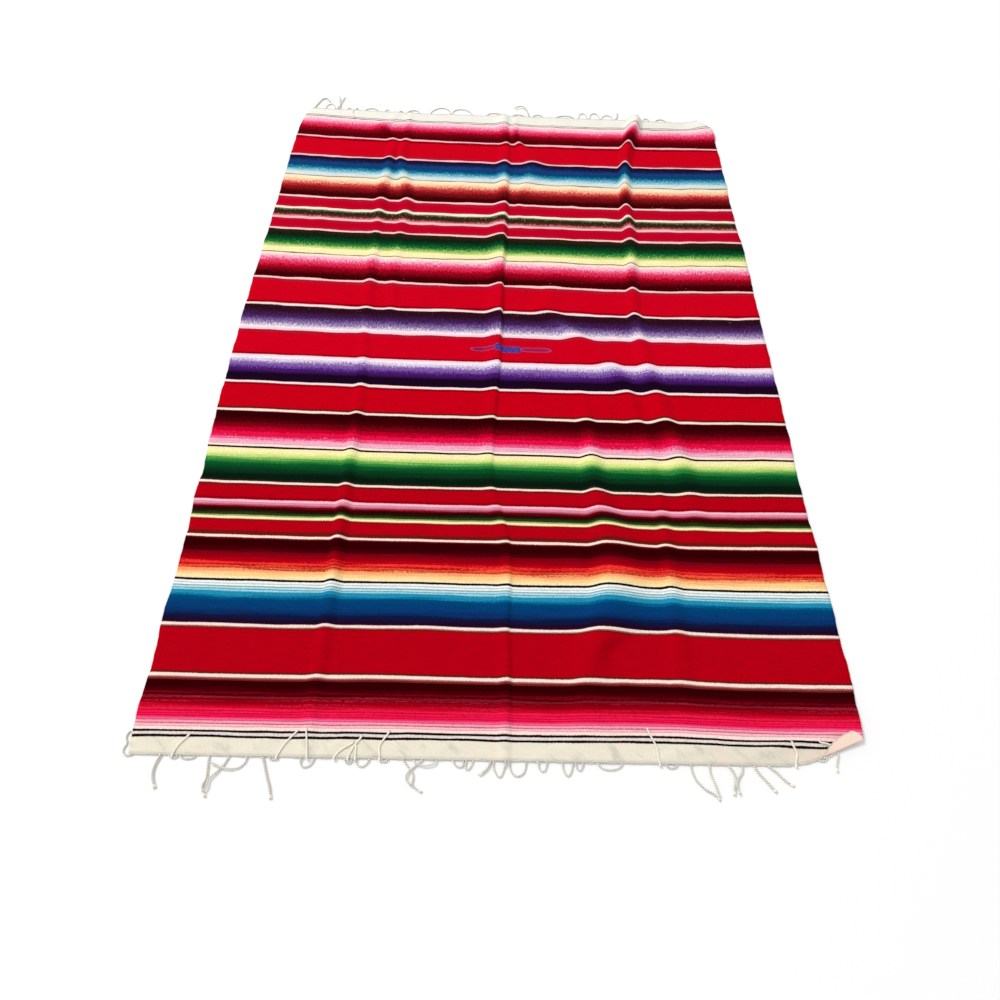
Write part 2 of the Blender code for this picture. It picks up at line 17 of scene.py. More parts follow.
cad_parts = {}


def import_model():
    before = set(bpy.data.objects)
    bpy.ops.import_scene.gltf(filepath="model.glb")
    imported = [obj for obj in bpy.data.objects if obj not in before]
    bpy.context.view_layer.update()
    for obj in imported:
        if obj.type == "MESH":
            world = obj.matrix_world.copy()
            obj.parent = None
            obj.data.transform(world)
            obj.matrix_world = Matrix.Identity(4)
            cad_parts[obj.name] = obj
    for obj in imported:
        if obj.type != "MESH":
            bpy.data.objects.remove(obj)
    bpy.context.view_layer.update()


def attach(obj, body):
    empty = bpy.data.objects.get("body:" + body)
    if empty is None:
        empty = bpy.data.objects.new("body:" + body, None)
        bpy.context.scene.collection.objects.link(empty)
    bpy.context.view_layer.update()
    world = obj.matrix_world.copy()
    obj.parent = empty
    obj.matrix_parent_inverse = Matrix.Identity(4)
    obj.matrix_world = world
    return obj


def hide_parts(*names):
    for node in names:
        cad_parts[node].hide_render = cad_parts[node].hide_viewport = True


MM = 0.001
SEED = 7
UP = (0, 0, 1.0)

# The woven web
CLOTH_WALL = 2.2
CLOTH_LIE = 0.2  # between the underside of the cloth and the floor
END_LINE = 1054.5  # each end of the web, from the middle
END_REACH = 150.0  # how far in from an end the shape of that end is felt
ROW_PITCH = 9.2
END_ROW_PITCH = 4.6
END_ROWS = 50.0  # how far in from an end the rows are that close
EDGE_ROUND = 0.7  # how far the middle of the cloth's edge stands out

# The fringe
GAP = 0.3
STRIP_DEPTH = 3.0
STRIP_MIDDLE = 1.7  # height of the corded end's middle above what it lies on
STRIP_INSET = 1.0
STRIP_POINTS = 700
CORD_RADIUS = 2.7  # of a cord that hangs free
LOOP_RADIUS = 1.9  # of one that turns back
CORD_CLEAR = 0.2  # between a cord and the floor that it lies on
CORD_CROSS = 3.2  # added where a cord lies over another
KINK_WAVE = 5.5  # a cord's slight kinks repeat every 2 pi times this
SETTLE = 8.0  # from a cord's root to where it lies on the floor
HAIRPIN = 2.0  # radius of a cord that turns back over the cloth
HAIRPIN_START = 1.6
HAIRPIN_STEPS = 8
FALL_SLOPE = 0.9
RING_PITCH = 0.8
CORD_SIDES = 10
CORD_STEPS = 48
OVER_STEPS = 36
WAY_PITCH = 1.5
CORNER_WAY_PITCH = 2.0
PLY_SHARE = 0.5  # a ply's radius, and a knot's, as shares of the cord's
KNOT_SHARE = 0.5
KNOT_GIRTH = 0.62
KNOT_TURNS = 1.7
KNOT_LENGTH = 4.6
TIP_TRIM = 3  # points left off a cord's end, to leave room for its tip
TWIST_PITCH = 7.6  # one turn of a cord's two plies
PLY_GROOVE = 0.42  # depth of the groove between the plies, as a share of the radius
OVER_SHADE = 0.35  # how much painted shade a cord's groove gets where it lies on the cloth, next to the others'


def entries(text):
    return [entry.strip() for entry in text.split(",")]


def table(fields, text):
    """Rows of numbers, each column with its name."""
    rows = [tuple(map(float, row.split())) for row in entries(text)]
    return np.rec.fromrecords(rows, names=fields.split())


# How far the web's two selvages stand from its middle
SELVAGES = table("y left right", """
-1054.5 -683 600, -1040 -685 628, -1020 -686 668, -1013.5 -687 681.5, -980 -689 686, -900 -684 689,
-780 -689 688, -660 -685.5 687, -580 -687 687, -480 -692.5 683.5, -430 -689.5 683, -280 -696.5 687.5,
110 -699 687, 400 -694 691, 500 -691.5 686.5, 600 -690.5 685, 700 -690 687, 900 -687 687, 985 -681 686,
1004 -678 682, 1020 -675 668, 1040 -669 652, 1054.5 -662 640
""")

# How far each end of the web strays from its line
END_SHIFTS = table("x near far", """
-700 0 12, -570 0 10, -340 0 0, 430 0 1, 530 0 -2, 567 5 -3, 600 16.5 -4, 700 16.5 -4
""")

# Cross-sections of the standing folds: where the crest is, its height, and how far the two feet are from it
FOLD = "y crest height left right"
LEFT_OUTER = table(FOLD, """
-1055 -362 2 24 24, -900 -362 7 24 26, -795 -360 8 22 28, -595 -360 12 22 26, -450 -360 9 22 24,
-150 -360 7 24 24, 125 -376 4 25 25, 230 -376 8 25 25, 440 -380 5 25 20, 595 -380 9 30 28, 800 -374 8 28 22,
910 -377 5 27 24, 970 -408 10 60 24, 1010 -386 3 30 24, 1055 -374 2.5 27 24
""")
LEFT_INNER = table(FOLD, """
-1055 -320 0 20 20, 0 -312 0 20 24, 125 -312 2.5 22 26, 230 -314 3.5 24 30, 440 -311 5 24 26,
595 -304 10 28 34, 800 -340 7 19 24, 910 -331 4.5 20 26, 1055 -330 2.5 20 26
""")
CENTRE = table(FOLD, """
-1055 5 3 20 16, -900 7 8 22 14, -795 5 6 32 13, -595 5 5.5 24 13, -450 -30 4.5 35 15, -240 -30 7 42 12,
-150 -24 8 44 10, 125 -17 13.5 50 9.5, 230 -16 13 44 10.5, 440 -12 14 60 16, 595 -8 12 42 17,
800 -8 11 38 24, 910 -4 7 26 14, 1015 -12 9 44 22, 1055 -12 7 40 22
""")
MIDDLE = table(FOLD, """
-1055 160 2 40 50, -900 165 9 40 80, -840 182 19 60 38, -795 199 18 50 100, -595 222 19 46 100,
-450 204 16 32 46, -240 195 7 32 32, -150 180 1 30 30, 0 90 0 20 20, 125 55 0 16 16, 440 45 0 16 16,
595 36 3 16 24, 700 62 6 30 50, 800 76 10 44 58, 910 31 8 15 16, 1055 26 1 14 20
""")
SLANT = table(FOLD, """
-1055 342 1 30 40, -900 346 4 26 40, -795 350 7 22 38, -595 352 9 24 34, -450 352 3 20 20, -240 319 6 40 24,
-150 299 11 46 34, -60 262 12 55 45, 30 181 12 56 54, 125 111 8 48 56, 230 125 1 40 44, 330 190 0 40 40,
1055 230 0 40 40
""")
RIGHT = table(FOLD, """
-1055 430 0 36 40, -600 430 1 36 44, -450 421 7 36 50, -240 386 14 44 42, -150 374 10 36 40, 0 352 10 28 36,
125 343 13 21 34, 230 348 12 21 26, 440 359 13 26 32, 490 360 17 26 28, 595 357 19 21 30, 700 363 20 20 32,
800 372 23 24 30, 905 392 28 31 29, 1015 424 28 34 20, 1055 430 21 34 24
""")
FOLDS = [LEFT_OUTER, LEFT_INNER, CENTRE, MIDDLE, SLANT, RIGHT]
CREST_ROUNDING = 1.15  # above 1, a fold's crest is narrower than its feet are wide
CREST_FULLER = 0.72  # the same where the right fold is fuller, by the far end
FULLER_FROM = (900.0, 1000.0)  # between these distances along the web it fills out
CREST_SPACING = 0.46  # a foot's columns end short of half the way to the next crest
FOOT_COLUMNS = (7, 6, 9, 8, 7, 9)  # columns from each fold's foot to its crest
FLAT_COLUMNS = (25, 1, 20, 7, 6, 8, 22)  # columns between the folds, counted from the left selvage

# Corners of the web that stand off the floor.
CORNERS = table("x y height radius", """
690 -1000 5 105, 690 1050 17 125
""")

# Soft creases from one place to another. The width is half of the whole.
CREASES = table("x0 y0 x1 y1 height width", """
330 -806 392 -828 2.6 20, 366 -836 440 -846 2.2 18, 300 -845 335 -880 1.6 18, 236 -905 262 -952 1.8 24,
-600 -1046 -520 -1024 1.2 15, -470 -1050 -430 -1022 1.3 14, -330 -1052 -292 -1020 1.6 14,
-214 -1050 -176 -1016 1.4 13, -120 -1046 -80 -1024 1.1 15, 60 -1052 128 -1026 1.4 16,
300 -1048 402 -1020 1.7 16, 452 -1046 560 -1010 2.2 17, 560 -1020 628 -998 1.8 16, 540 -620 585 -560 1.4 26,
-560 410 -545 560 1.5 30, -150 640 -140 760 1.4 28, 190 560 205 700 1.6 30, 520 300 535 430 1.3 30,
-190 -420 -180 -300 1 26, 560 -330 566 -220 1.2 26, -540 -760 -528 -640 1 28, 150 985 160 1052 1.4 18,
-210 990 -196 1052 1.2 18
""")

# Slow unevenness of the whole cloth, as waves: across and along are the lengths of one.
WAVES = table("height across along start", """
0.34 171 940 0.4, 0.26 97 -610 2.1, 0.2 64 420 4.4, 0.3 1250 133 1.3, 0.18 -540 71 3.2
""")

# The near right corner is turned over, and the far right one under: start (on the web's end), end and tip
FLAP = np.array(((602.0, -1037.2), (679.5, -1006.3), (662.0, -992.0)))
FLAP_BULGE = (6.0, 5.0)  # how far its two free edges stand out in the middle
FLAP_LIE = 0.15  # between it and the web
FLAP_STEPS = 16
FOLD_NOSE = 1.2  # how far the turned cloth stands past its fold line
FLAP_CREAM = 0.85  # the turned corner's weft slants, so less of its stripes shows
TURNED_UNDER = np.array(((640.0, 1050.0), (682.0, 1001.0), (640.0, 1006.0)))
UNDER_LIE = 0.2
CORNER_STRIP_INSET = 3.5
CORNER_STRIP_RADIUS = 0.6

# Cords that leave the fringe's strip outwards: reach is how far out they go, bow is a bend to one side, back
# is the share of the reach that turns back (1 makes a loop), and over is 1 where a cord lies on others.
CORD = "root tip reach bow back over"
NEAR_CORDS = table(CORD, """
-608 -594 5 0 1 0, -588 -562 6 0 1 0, -427 -411 5 0 1 0, -369 -345 17 -3 1 0, -289 -276 9 0 1 0,
-270 -245 14 0 1 0, -222 -211 5 0 1 0, -163 -121 11 0 1 1, -91 -73 12 4 1 0, -66 -54 16 -4 1 0,
-16 6 28 0 1 0, 12 44 26 0 1 0, 66 82 17 0 1 0, 111 130 24 0 1 0, 136 148 14 0 1 0, 176 220 12 0 1 0,
303 323 7 0 1 0
""")
FAR_CORDS = table(CORD, """
-652 -604 80 0 0.5 0, -614 -583 30 0 1 0, -576 -559 78 2 0 0, -568 -579 78 3 0 1, -541 -530 12 0 1 0,
-514 -503 12 0 1 0, -480 -437 16 0 1 0, -415 -399 14 0 1 0, -366 -354 10 0 1 0, -340 -298 18 0 1 0,
-262 -196 38 6 1 0, -188 -120 34 -6 1 0, -72 -19 18 0 1 0, 71 20 78 6 0.42 1, 14 56 14 0 1 0,
84 118 16 0 1 0, 163 223 16 0 1 0, 238 268 34 0 1 0, 275 311 36 0 1 0, 317 354 28 0 1 0, 362 372 42 3 0 0,
436 447 14 0 1 0, 457 478 16 0 1 0, 500 535 16 0 1 0
""")

Strand = namedtuple("Strand", "radius knotted rise way")


def strand(text):
    """A cord's radius, 1 if it ends in a knot, its rise to cross another, and its way (x, y)."""
    radius, knotted, rise, *way = map(float, text.split())
    return Strand(radius, knotted, rise, np.reshape(way, (-1, 2)))


NEAR_STRANDS = [strand(entry) for entry in entries("""
1.9 0 0 -676 -1058 -686 -1061 -694 -1055 -695 -1046 -690.5 -1040 -690.5 -1036 -695 -1030 -696 -1022 -690.5
  -1015,
2.9 1 0 -624 -1058 -629 -1070 -631.5 -1084 -629 -1098 -622 -1112,
2.7 1 0 -536.5 -1058 -535 -1075 -532.5 -1098 -538 -1110 -534 -1121 -530.5 -1126,
2.3 0 3 -500 -1058 -507 -1074 -518 -1088 -529 -1099 -528 -1111 -532 -1120,
2.1 0 4.5 -468 -1057 -468 -1068 -478 -1078 -493 -1081 -508 -1079 -520 -1074 -531 -1070,
2.8 1 0 -439 -1058 -431 -1078 -424 -1096 -417.5 -1110 -413 -1127,
2.2 1 0 -183 -1057 -174 -1069 -163 -1080 -161 -1091 -164 -1101 -156 -1109 -148 -1113,
2.2 0 3.5 -147 -1057 -158 -1068 -171 -1079 -176 -1089 -172 -1098 -165 -1103,
2.8 1 0 -21 -1057 -26 -1070 -34 -1078 -39 -1081,
2.3 1 0 349 -1056 350 -1070 355 -1085 370 -1101 387 -1110 393 -1117,
2.3 0 3 383.5 -1056 383.6 -1073 388 -1088 391 -1103 394 -1113,
2.8 1 0 419 -1057 427 -1070 429 -1083 424 -1098 422.5 -1107,
2.3 1 3 445 -1057 444 -1070 433 -1081 428 -1093 431 -1105,
2.8 1 0 467 -1058 473 -1070 486 -1086 494 -1096 498 -1101,
2.6 1 0 493 -1057 500 -1063 510 -1071 518 -1081 526 -1088 532 -1091,
1.8 0 0 590 -1045 597 -1048 604 -1046.5 609 -1041,
2.3 1 0 600 -1050 614 -1037.5 624 -1030.5 630 -1029 630.5 -1036 626 -1046 622 -1056 621.5 -1063
""")]

# Cords that turn back and lie on the heading: back is how far in from the end their tip lies.
OVER = "root tip back bow"
NEAR_OVERS = table(OVER, """
-603 -581 33 -2, -414 -383 44 -2, -358 -366 46 0, -309 -278 24 -3, -284 -263 35 -1, -270 -271 18 0,
-226 -213 45 -7, 291 274 60 4, 545 545 37 6
""")
FAR_OVERS = table(OVER, """
-520 -513 44 -3, -348 -324 40 4
""")

# The turned corner's own cord: the share of the strip where it leaves, and its way
CORNER_ROOT = 0.3
CORNER_WAY = [(609, -1014), (602, -1015), (596, -1012.5), (598, -1007.5)]

# Yarns, as sRGB colours. The two darker reds used only in the near half hold painted shade.
YARNS = dict(entry.split() for entry in entries("""
scarlet cc001b, cardinal c40016, carmine be0024, cherry c40622, umber 74201e, dust a05c58, oxblood 3e0003,
merlot 520006, dusk 64487e, grape 462660, damson 3e1b48, prune 2c0c1a, shrimp fcbc98, oat fae8c4,
lichen 848670, powder 8cc2d6, marine 004070, chalk e6dad4, blossom f8d0dc, frost f6e7ee, ruby ae142c,
conch fab8be, bud de8a9e, coral c07478, tile cc4642, haze dce0d8, dawn cfe3e8, ink 0c2e62, candy fc9cb0,
clay ba5672, melon fcbcc2, mallow dc9ea2, ash 4c3e3a, poppy e22850, peony e05c82, biscuit f6d8c6,
red b40014, garnet 940012, russet 74140f, pearl fcdcd8, milk f9e0d4, shell fec8c6, silver ccbece,
lilac dccdec, heather 8a70a6, violet 7a50a2, purple 4e2274, indigo 421662, plum 2e0e42, sloe 1a061e,
black 180c06, burgundy 320003, maroon 480008, wine 740412, claret a2001c, crimson d40034, cerise f41c50,
cedar 861a26, rose fa5c90, dahlia d45680, rouge f2305e, pink fa98ba, petal fabccc, orchid d890a8,
blush ffe0da, vanilla fbe6d0, primrose faeeb4, citron ebeb98, lime c8e080, sage 9cba68, leaf 58a44a,
green 308038, fir 065226, bottle 0a361c, pine 071c10, bistre 2c1c0c, olive 786c48, loam 2e2a10,
cypress 2e3a14, peat 1a1306, moss 98a872, salmon d04a48, brick 940f1c, oxide 6a0e10, flame ff3c34,
ember ff5438, rust ae2a10, apricot ff9e6c, peach fcd08c, straw fce6b4, ice f2f6f4, mist c2ccc8,
pewter 82a4a4, aqua 98d6ea, steel 5a8c9c, sky b8dce8, teal 2888a0, cyan 208eb4, petrol 004674, sea 0c6c98,
royal 063c72, denim 1c3a74, navy 0c1840, night 200a26, cream eae3d0, ivory eeebe1, stone 94887f,
gentian 36308e, magenta a0184c, wisteria 8c68a2, aubergine 4a1450, cotton faf5e8
"""))

Stripe = namedtuple("Stripe", "to yarn shaded")


def stripes(text):
    """The stripes of one half, from the middle out: how far from the middle each ends, and its yarn.

    One with a ~ shades into its neighbours."""
    rows = [entry.split() for entry in entries(text)]
    return [Stripe(float(to), name.strip("~"), name.endswith("~")) for to, name in rows]


# The near half's reds darken towards its end, below the far half's scarlet: painted shade for light that
# falls off towards the near end.
NEAR_STRIPES = stripes("""
39.5 scarlet, 45.8 garnet~, 51 blossom, 60 frost~, 63.5 lilac~, 65.5 silver~, 67.4 lilac~, 76 heather~,
88 violet~, 92.5 purple~, 103 indigo~, 108 plum~, 134.2 sloe, 141.8 pearl, 144 umber, 149 garnet,
219 cardinal, 225.6 russet, 232.2 milk, 234 umber, 258 burgundy~, 267 maroon~, 283 wine~, 286 claret~,
290 crimson~, 292 claret~, 297 crimson~, 299.6 cerise~, 304 crimson~, 306 cerise~, 311 crimson~, 315 rose~,
317.6 dahlia~, 322 pink~, 324 petal~, 325.6 orchid~, 330 petal~, 331.6 orchid~, 338.4 blush, 343.8 black,
356.5 primrose, 361 citron~, 368 lime~, 371.5 sage~, 377 leaf~, 383 green~, 398 fir~, 411 bottle~,
433 pine~, 437.8 bistre, 443.4 milk, 449.5 russet, 480 red, 487 garnet~, 492.6 petal, 499 bud, 502.6 clay~,
508 wine~, 514 burgundy~, 521 peat~, 527 cypress~, 530.6 moss, 536.2 primrose, 538.4 salmon, 542 russet,
568 red, 578.4 russet~, 584.4 milk, 588.2 oxide, 612 burgundy~, 618 maroon~, 626 wine~, 636 garnet~,
645 red~, 648 flame~, 652.4 red~, 656.4 ember~, 660 rust~, 668 apricot~, 678 peach~, 683.6 straw~,
689 black, 693.4 ice, 696.4 mist, 700 ice, 702.8 pewter, 706.8 sky, 708.8 steel, 712 aqua~, 716 teal~,
721 cyan~, 726 sea~, 732 petrol~, 755 royal~, 762 ink~, 772 navy~, 784 night~, 789.8 milk, 792.6 dust,
796 russet, 884 red, 889 russet, 895.6 milk, 898.6 dust, 902.6 umber, 920 burgundy~, 926 maroon~,
927.6 wine~, 934 maroon~, 935.6 cedar~, 942 wine~, 949.6 garnet~, 958 cherry~, 960.4 cerise~, 963 cherry~,
966 cerise~, 968 crimson~, 970.5 cerise~, 973 crimson~, 976 rouge~, 978.6 rose, 980.4 clay, 984.6 candy,
986.6 clay, 990.2 melon, 991.8 mallow, 997.6 blush, 1002.2 black, 1007.2 chalk, 1012 black, 1080 cream
""")
FAR_STRIPES = stripes("""
33 scarlet, 42.3 ruby~, 50 blossom, 56 frost~, 64 silver~, 78 heather~, 86 dusk~, 93 grape~, 103 damson~,
134.3 prune~, 141.8 pearl, 150 garnet, 226 scarlet, 237 ruby~, 244.4 shell, 272 oxblood~, 280 wine~,
296 claret~, 314 poppy~, 320 peony~, 327 pink~, 334 petal~, 345.6 vanilla~, 349.4 olive, 370 primrose,
375.5 lime~, 383 sage~, 396 green~, 405 fir~, 420 bottle~, 432 pine~, 449.4 bistre~, 456.6 shell, 464 ruby~,
490 carmine, 498.6 ruby~, 507.4 conch, 514.5 coral~, 519 oxide~, 533 loam~, 541 bistre~, 544.6 lichen~,
554.4 vanilla, 562 ruby~, 588 carmine, 600.6 ruby~, 608.2 shell, 635 oxblood~, 648 oxide~, 662 brick~,
679 tile~, 690 shrimp~, 707.4 oat~, 711.6 lichen, 722 haze, 728 dawn~, 742 powder~, 753 teal~, 770 marine~,
790 denim~, 800 navy~, 812.2 night~, 819.4 conch, 828 ruby~, 905 scarlet, 917.6 garnet~, 925.4 conch,
955 merlot~, 967 wine~, 976 claret~, 993 poppy~, 1000 peony~, 1009 pink~, 1018 petal~, 1027.2 blush~,
1029.6 ash, 1035.6 chalk, 1038 ash, 1100 ivory
""")
PATTERN_MIDDLE = -12.0  # where the middle of the pattern lies along the web
HEADINGS = (1012.0, 1038.0)  # where the near and the far cream heading start
SOFT_EDGE = 0.5  # half of the width over which a stripe's edge changes colour
SHADING_FADE = 13.0  # over this much of its ends, a run of shaded stripes goes back to crisp ones
RAMP_STOPS = 30
WARP_PITCH = 3.4  # between the ribs that the cotton warps raise
PICK_PITCH = 1.5  # between one weft and the next

# The woven eye in the middle: places across the cloth, and half heights along it.
MOTIF_LOBES = ((-66.0, 35.0, 7.5), (75.0, 41.0, 7.2))  # middle, half width and half height of each lobe
MOTIF_BLOCK = (-35.0, 36.0, 11.0)  # left, right and half height
MOTIF_HATCH = (-92.0, -70.0, 6.0)  # the same of the dark hatching
HATCH_PITCH = 7.0

# How far the stripes stray towards the far end, at nine places across the web
DRIFT_PLACES = (-690, -588, -470, -210, 95, 265, 495, 590, 690)
DRIFTS = table("y a b c d e f g h i", """
-1060 -2 -1 -1 0.5 1 3.5 -0.5 -1 -1, -750 0 -0.7 -2 1.5 -0.5 2.6 -1.5 -0.6 0.6,
-500 0.3 -1.3 -2 -3.5 -2.5 -5 -4.5 -2 -0.6, -250 0 -2.2 -4.5 -8 -7.8 -9 -6 -4 -1.6,
0 -1.2 -3.2 -5 -8 -7.6 -8 -5.6 -5.3 -2, 125 1 -1.8 -6.2 -8.8 -9.5 -12 -12.5 -8.3 -5,
250 2.6 -1.3 -5.5 -9 -8.8 -12.5 -12 -6.5 -4, 500 2 -2.2 -7 -12.5 -13.5 -15.5 -11.6 -8.3 -5,
750 3 -2.2 -6.3 -10.5 -14 -15.5 -11.2 -8 -2.4, 1060 2 -3.5 -10.5 -12 -16 -18 -11 -7.3 -5.5
""")

# The camera looks down along the cloth from before its near end.
CAMERA_PLACE = (-0.0422, -1.4065, 1.4248)
CAMERA_TURNS = ((-0.03440522, "Z"), (math.pi / 2 - 0.9952813, "X"), (0.05408285, "Z"))
CAMERA_LENS = 27.036
CAMERA_SENSOR = 36.0
KEY_PLACE = (-8.6, 5.7, 12.0)
KEY_SIZE = 5.5
KEY_POWER = 1340.0
SKY_STRENGTH = 0.72
FLOOR_HALF = 20.0

# The flat map for baking
MAP_SCALE = 1 / 2.86
MAP_START = (0.705, 1.06)  # from the middle of the cloth to the map's corner, in metres
MAP_REVERSE = 0.505  # how far right the underside's half starts
MAP_LOW = 0.1


def unit(vectors):
    return vectors / np.linalg.norm(vectors, axis=-1, keepdims=True)


def curve(stations, values, at):
    """Values on a smooth curve through the stations."""
    stations = np.asarray(stations, float)
    slopes = np.gradient(values, stations)
    at = np.clip(at, stations[0], stations[-1])
    i = np.clip(np.searchsorted(stations, at) - 1, 0, len(stations) - 2)
    span = stations[i + 1] - stations[i]
    t = (at - stations[i]) / span
    start = values[i] * (1 + 2 * t) * (1 - t) ** 2 + slopes[i] * span * t * (1 - t) ** 2
    end = values[i + 1] * t * t * (3 - 2 * t) + slopes[i + 1] * span * t * t * (t - 1)
    return start + end


def through(rows, name, at):
    return curve(rows.y, rows[name], at)


def straight(rows, name, at, key="y"):
    return np.interp(at, rows[key], rows[name])


def fold_at(fold, y):
    """The crest, height and two foot distances of a fold at this y."""
    height = np.maximum(0.0, through(fold, "height", y))
    return through(fold, "crest", y), height, straight(fold, "left", y), straight(fold, "right", y)


def hump(share):
    return 0.5 + 0.5 * np.cos(np.pi * np.clip(share, 0, 1))


def lift(x, y):
    """How far the underside of the cloth stands off the floor."""
    height = np.full(np.shape(x), CLOTH_LIE)
    for crease in CREASES:
        run = np.array((crease.x1 - crease.x0, crease.y1 - crease.y0))
        length = np.hypot(*run)
        dx, dy = run / length
        along = (x - crease.x0) * dx + (y - crease.y0) * dy
        aside = (x - crease.x0) * dy - (y - crease.y0) * dx
        beyond = np.maximum(0.0, np.maximum(-along, along - length))
        height += crease.height * hump(np.hypot(aside, beyond) / crease.width)
    for wave in WAVES:
        height += wave.height * (1 + np.sin(2 * np.pi * (x / wave.across + y / wave.along) + wave.start))
    for fold in FOLDS:
        crest, crest_height, left, right = fold_at(fold, y)
        foot = np.where(x < crest, left, right)
        far_rounding = CREST_FULLER if fold is RIGHT else CREST_ROUNDING
        rounding = np.interp(y, FULLER_FROM, (CREST_ROUNDING, far_rounding))
        height += crest_height * hump(abs(x - crest) / foot) ** rounding
    for corner in CORNERS:
        height += corner.height * hump(np.hypot(x - corner.x, y - corner.y) / corner.radius)
    return height


def row_stations():
    """Places along the web of its mesh's rows: close together by the ends."""
    inner = END_LINE - END_ROWS
    middle = np.linspace(-inner, inner, round(2 * inner / ROW_PITCH) + 1)
    ends = np.linspace(inner, END_LINE, round(END_ROWS / END_ROW_PITCH) + 1)[1:]
    return np.concatenate((-ends[::-1], middle, ends))


def selvage(name, side, y):
    """One selvage's distance from the middle, with its slight waves."""
    waver = 0.9 * np.sin(y / 23.0 + side) + 0.5 * np.sin(y / 8.3 + 2 * side) + 0.3 * np.sin(y / 3.9)
    return float(straight(SELVAGES, name, y) + waver)


def column_places(y):
    """Places across the web of one row's points. They follow the folds."""
    folds = [[float(value) for value in fold_at(fold, y)] for fold in FOLDS]
    crests = [selvage("left", 1, y)] + [fold[0] for fold in folds] + [selvage("right", 2, y)]
    places = crests[:1]

    def add_columns(to, count):
        places.extend(np.linspace(places[-1], to, count + 1)[1:])

    for i, (crest, _, left, right) in enumerate(folds):
        left = min(left, CREST_SPACING * (crest - crests[i]))
        right = min(right, CREST_SPACING * (crests[i + 2] - crest))
        add_columns(crest - left, FLAT_COLUMNS[i] + 1)
        add_columns(crest, FOOT_COLUMNS[i])
        add_columns(crest + right, FOOT_COLUMNS[i])
    add_columns(crests[-1], FLAT_COLUMNS[-1] + 1)
    return places


def end_shift(name, x, y):
    """How far the shape of one end moves a place on the web along it."""
    inside = END_LINE + (y if name == "near" else -y)
    return straight(END_SHIFTS, name, x, key="x") * np.maximum(0, 1 - inside / END_REACH) ** 2


def pattern_place(x, y):
    """How far from the pattern's middle each point of a row is woven: below 0 in the near half."""
    strays = np.array([float(through(DRIFTS, name, y)) for name in "abcdefghi"])
    # The near right corner's end is drawn in, but its stripes run straight on.
    return y + end_shift("near", x, y) - PATTERN_MIDDLE - curve(DRIFT_PLACES, strays, x)


class Builder:
    """Gathers points, their places in the weave and faces, and makes one object of them."""

    def __init__(self):
        self.points = self.weave = np.zeros((0, 3))
        self.faces = []

    def add(self, points, weave):
        """Adds points, and returns the number of the first."""
        first = len(self.points)
        self.points = np.concatenate((self.points, points.reshape(-1, 3)))
        self.weave = np.concatenate((self.weave, weave.reshape(-1, 3)))
        return first

    def grid(self, rows, weave, way=1, closed=False):
        """Adds a grid of points, and returns their numbers. With way -1 it faces down."""
        number = self.add(rows, weave) + np.arange(rows[..., 0].size).reshape(rows.shape[:2])
        if closed:
            number = np.pad(number, ((0, 0), (0, 1)), "wrap")
        corners = (number[:-1, :-1], number[:-1, 1:], number[1:, 1:], number[1:, :-1])
        self.faces += np.stack(corners[::way], -1).reshape(-1, 4).tolist()
        return number

    def close(self, low, high):
        """Joins the outlines of a lower and an upper face. Their edge stands out in the middle."""
        middle = (self.points[low] + self.points[high]) / 2
        ahead = np.roll(middle, -1, axis=0) - np.roll(middle, 1, axis=0)
        outward = unit(ahead[:, (1, 0, 2)] * (1, -1, 0))
        edge = self.add(middle + outward * EDGE_ROUND, self.weave[high]) + np.arange(len(low))
        sides = [(ring, np.roll(ring, -1)) for ring in (low, edge, high)]
        quads = [np.stack((a, b, d, c), -1) for (a, b), (c, d) in zip(sides, sides[1:])]
        self.faces += np.stack(quads, 1).reshape(-1, 4).tolist()

    def finish(self, name, material, sharp=60):
        mesh = bpy.data.meshes.new(name)
        mesh.from_pydata(self.points * MM, [], self.faces)
        attribute = mesh.attributes.new("weave", "FLOAT_VECTOR", "POINT")
        attribute.data.foreach_set("vector", (self.weave * MM).astype(np.float32).ravel())
        mesh.materials.append(material)
        mesh.shade_smooth()
        mesh.set_sharp_from_angle(angle=math.radians(sharp))
        mesh.validate()
        return link(bpy.data.objects.new(name, mesh))


def link(obj):
    bpy.context.scene.collection.objects.link(obj)
    return obj


def web_grid():
    """The underside of the web as a grid of points, and their places in the weave."""
    stations = row_stations()
    x = np.array([column_places(y) for y in stations])
    row = np.repeat(stations[:, None], x.shape[1], axis=1)
    y = row + end_shift("near", x, row) + end_shift("far", x, row)
    under = np.stack((x, y, lift(x, y)), -1)
    steps = np.linalg.norm(np.diff(under, axis=1), axis=-1)
    across = np.pad(np.cumsum(steps, axis=1), ((0, 0), (1, 0)))
    across -= across[:, [x.shape[1] // 2]]
    woven = np.array([pattern_place(xs, y) for xs, y in zip(x, stations)])
    return under, np.stack((across, woven, np.zeros(x.shape)), -1)


def make_web(under, weave, material):
    normal = unit(np.cross(np.gradient(under, axis=1), np.gradient(under, axis=0)))
    builder = Builder()
    low = builder.grid(under, weave + (0, 0, 1 / MM), -1)
    high = builder.grid(under + normal * CLOTH_WALL, weave)
    builder.close(*(np.concatenate((n[0, :-1], n[:-1, -1], n[-1, :0:-1], n[:0:-1, 0])) for n in (low, high)))
    web = builder.finish("serape_web", material)
    # A flat map of both faces, side by side, for baking.
    x, y, reverse = builder.weave.T * MM
    u = (x + MAP_START[0]) * MAP_SCALE + np.where(reverse > 0.5, MAP_REVERSE, 0)
    v = (y + MAP_START[1]) * MAP_SCALE + MAP_LOW
    corners = [loop.vertex_index for loop in web.data.loops]
    layer = web.data.uv_layers.new(name="OFBake")
    layer.data.foreach_set("uv", np.stack((u, v), -1)[corners].astype(np.float32).ravel())
    return web


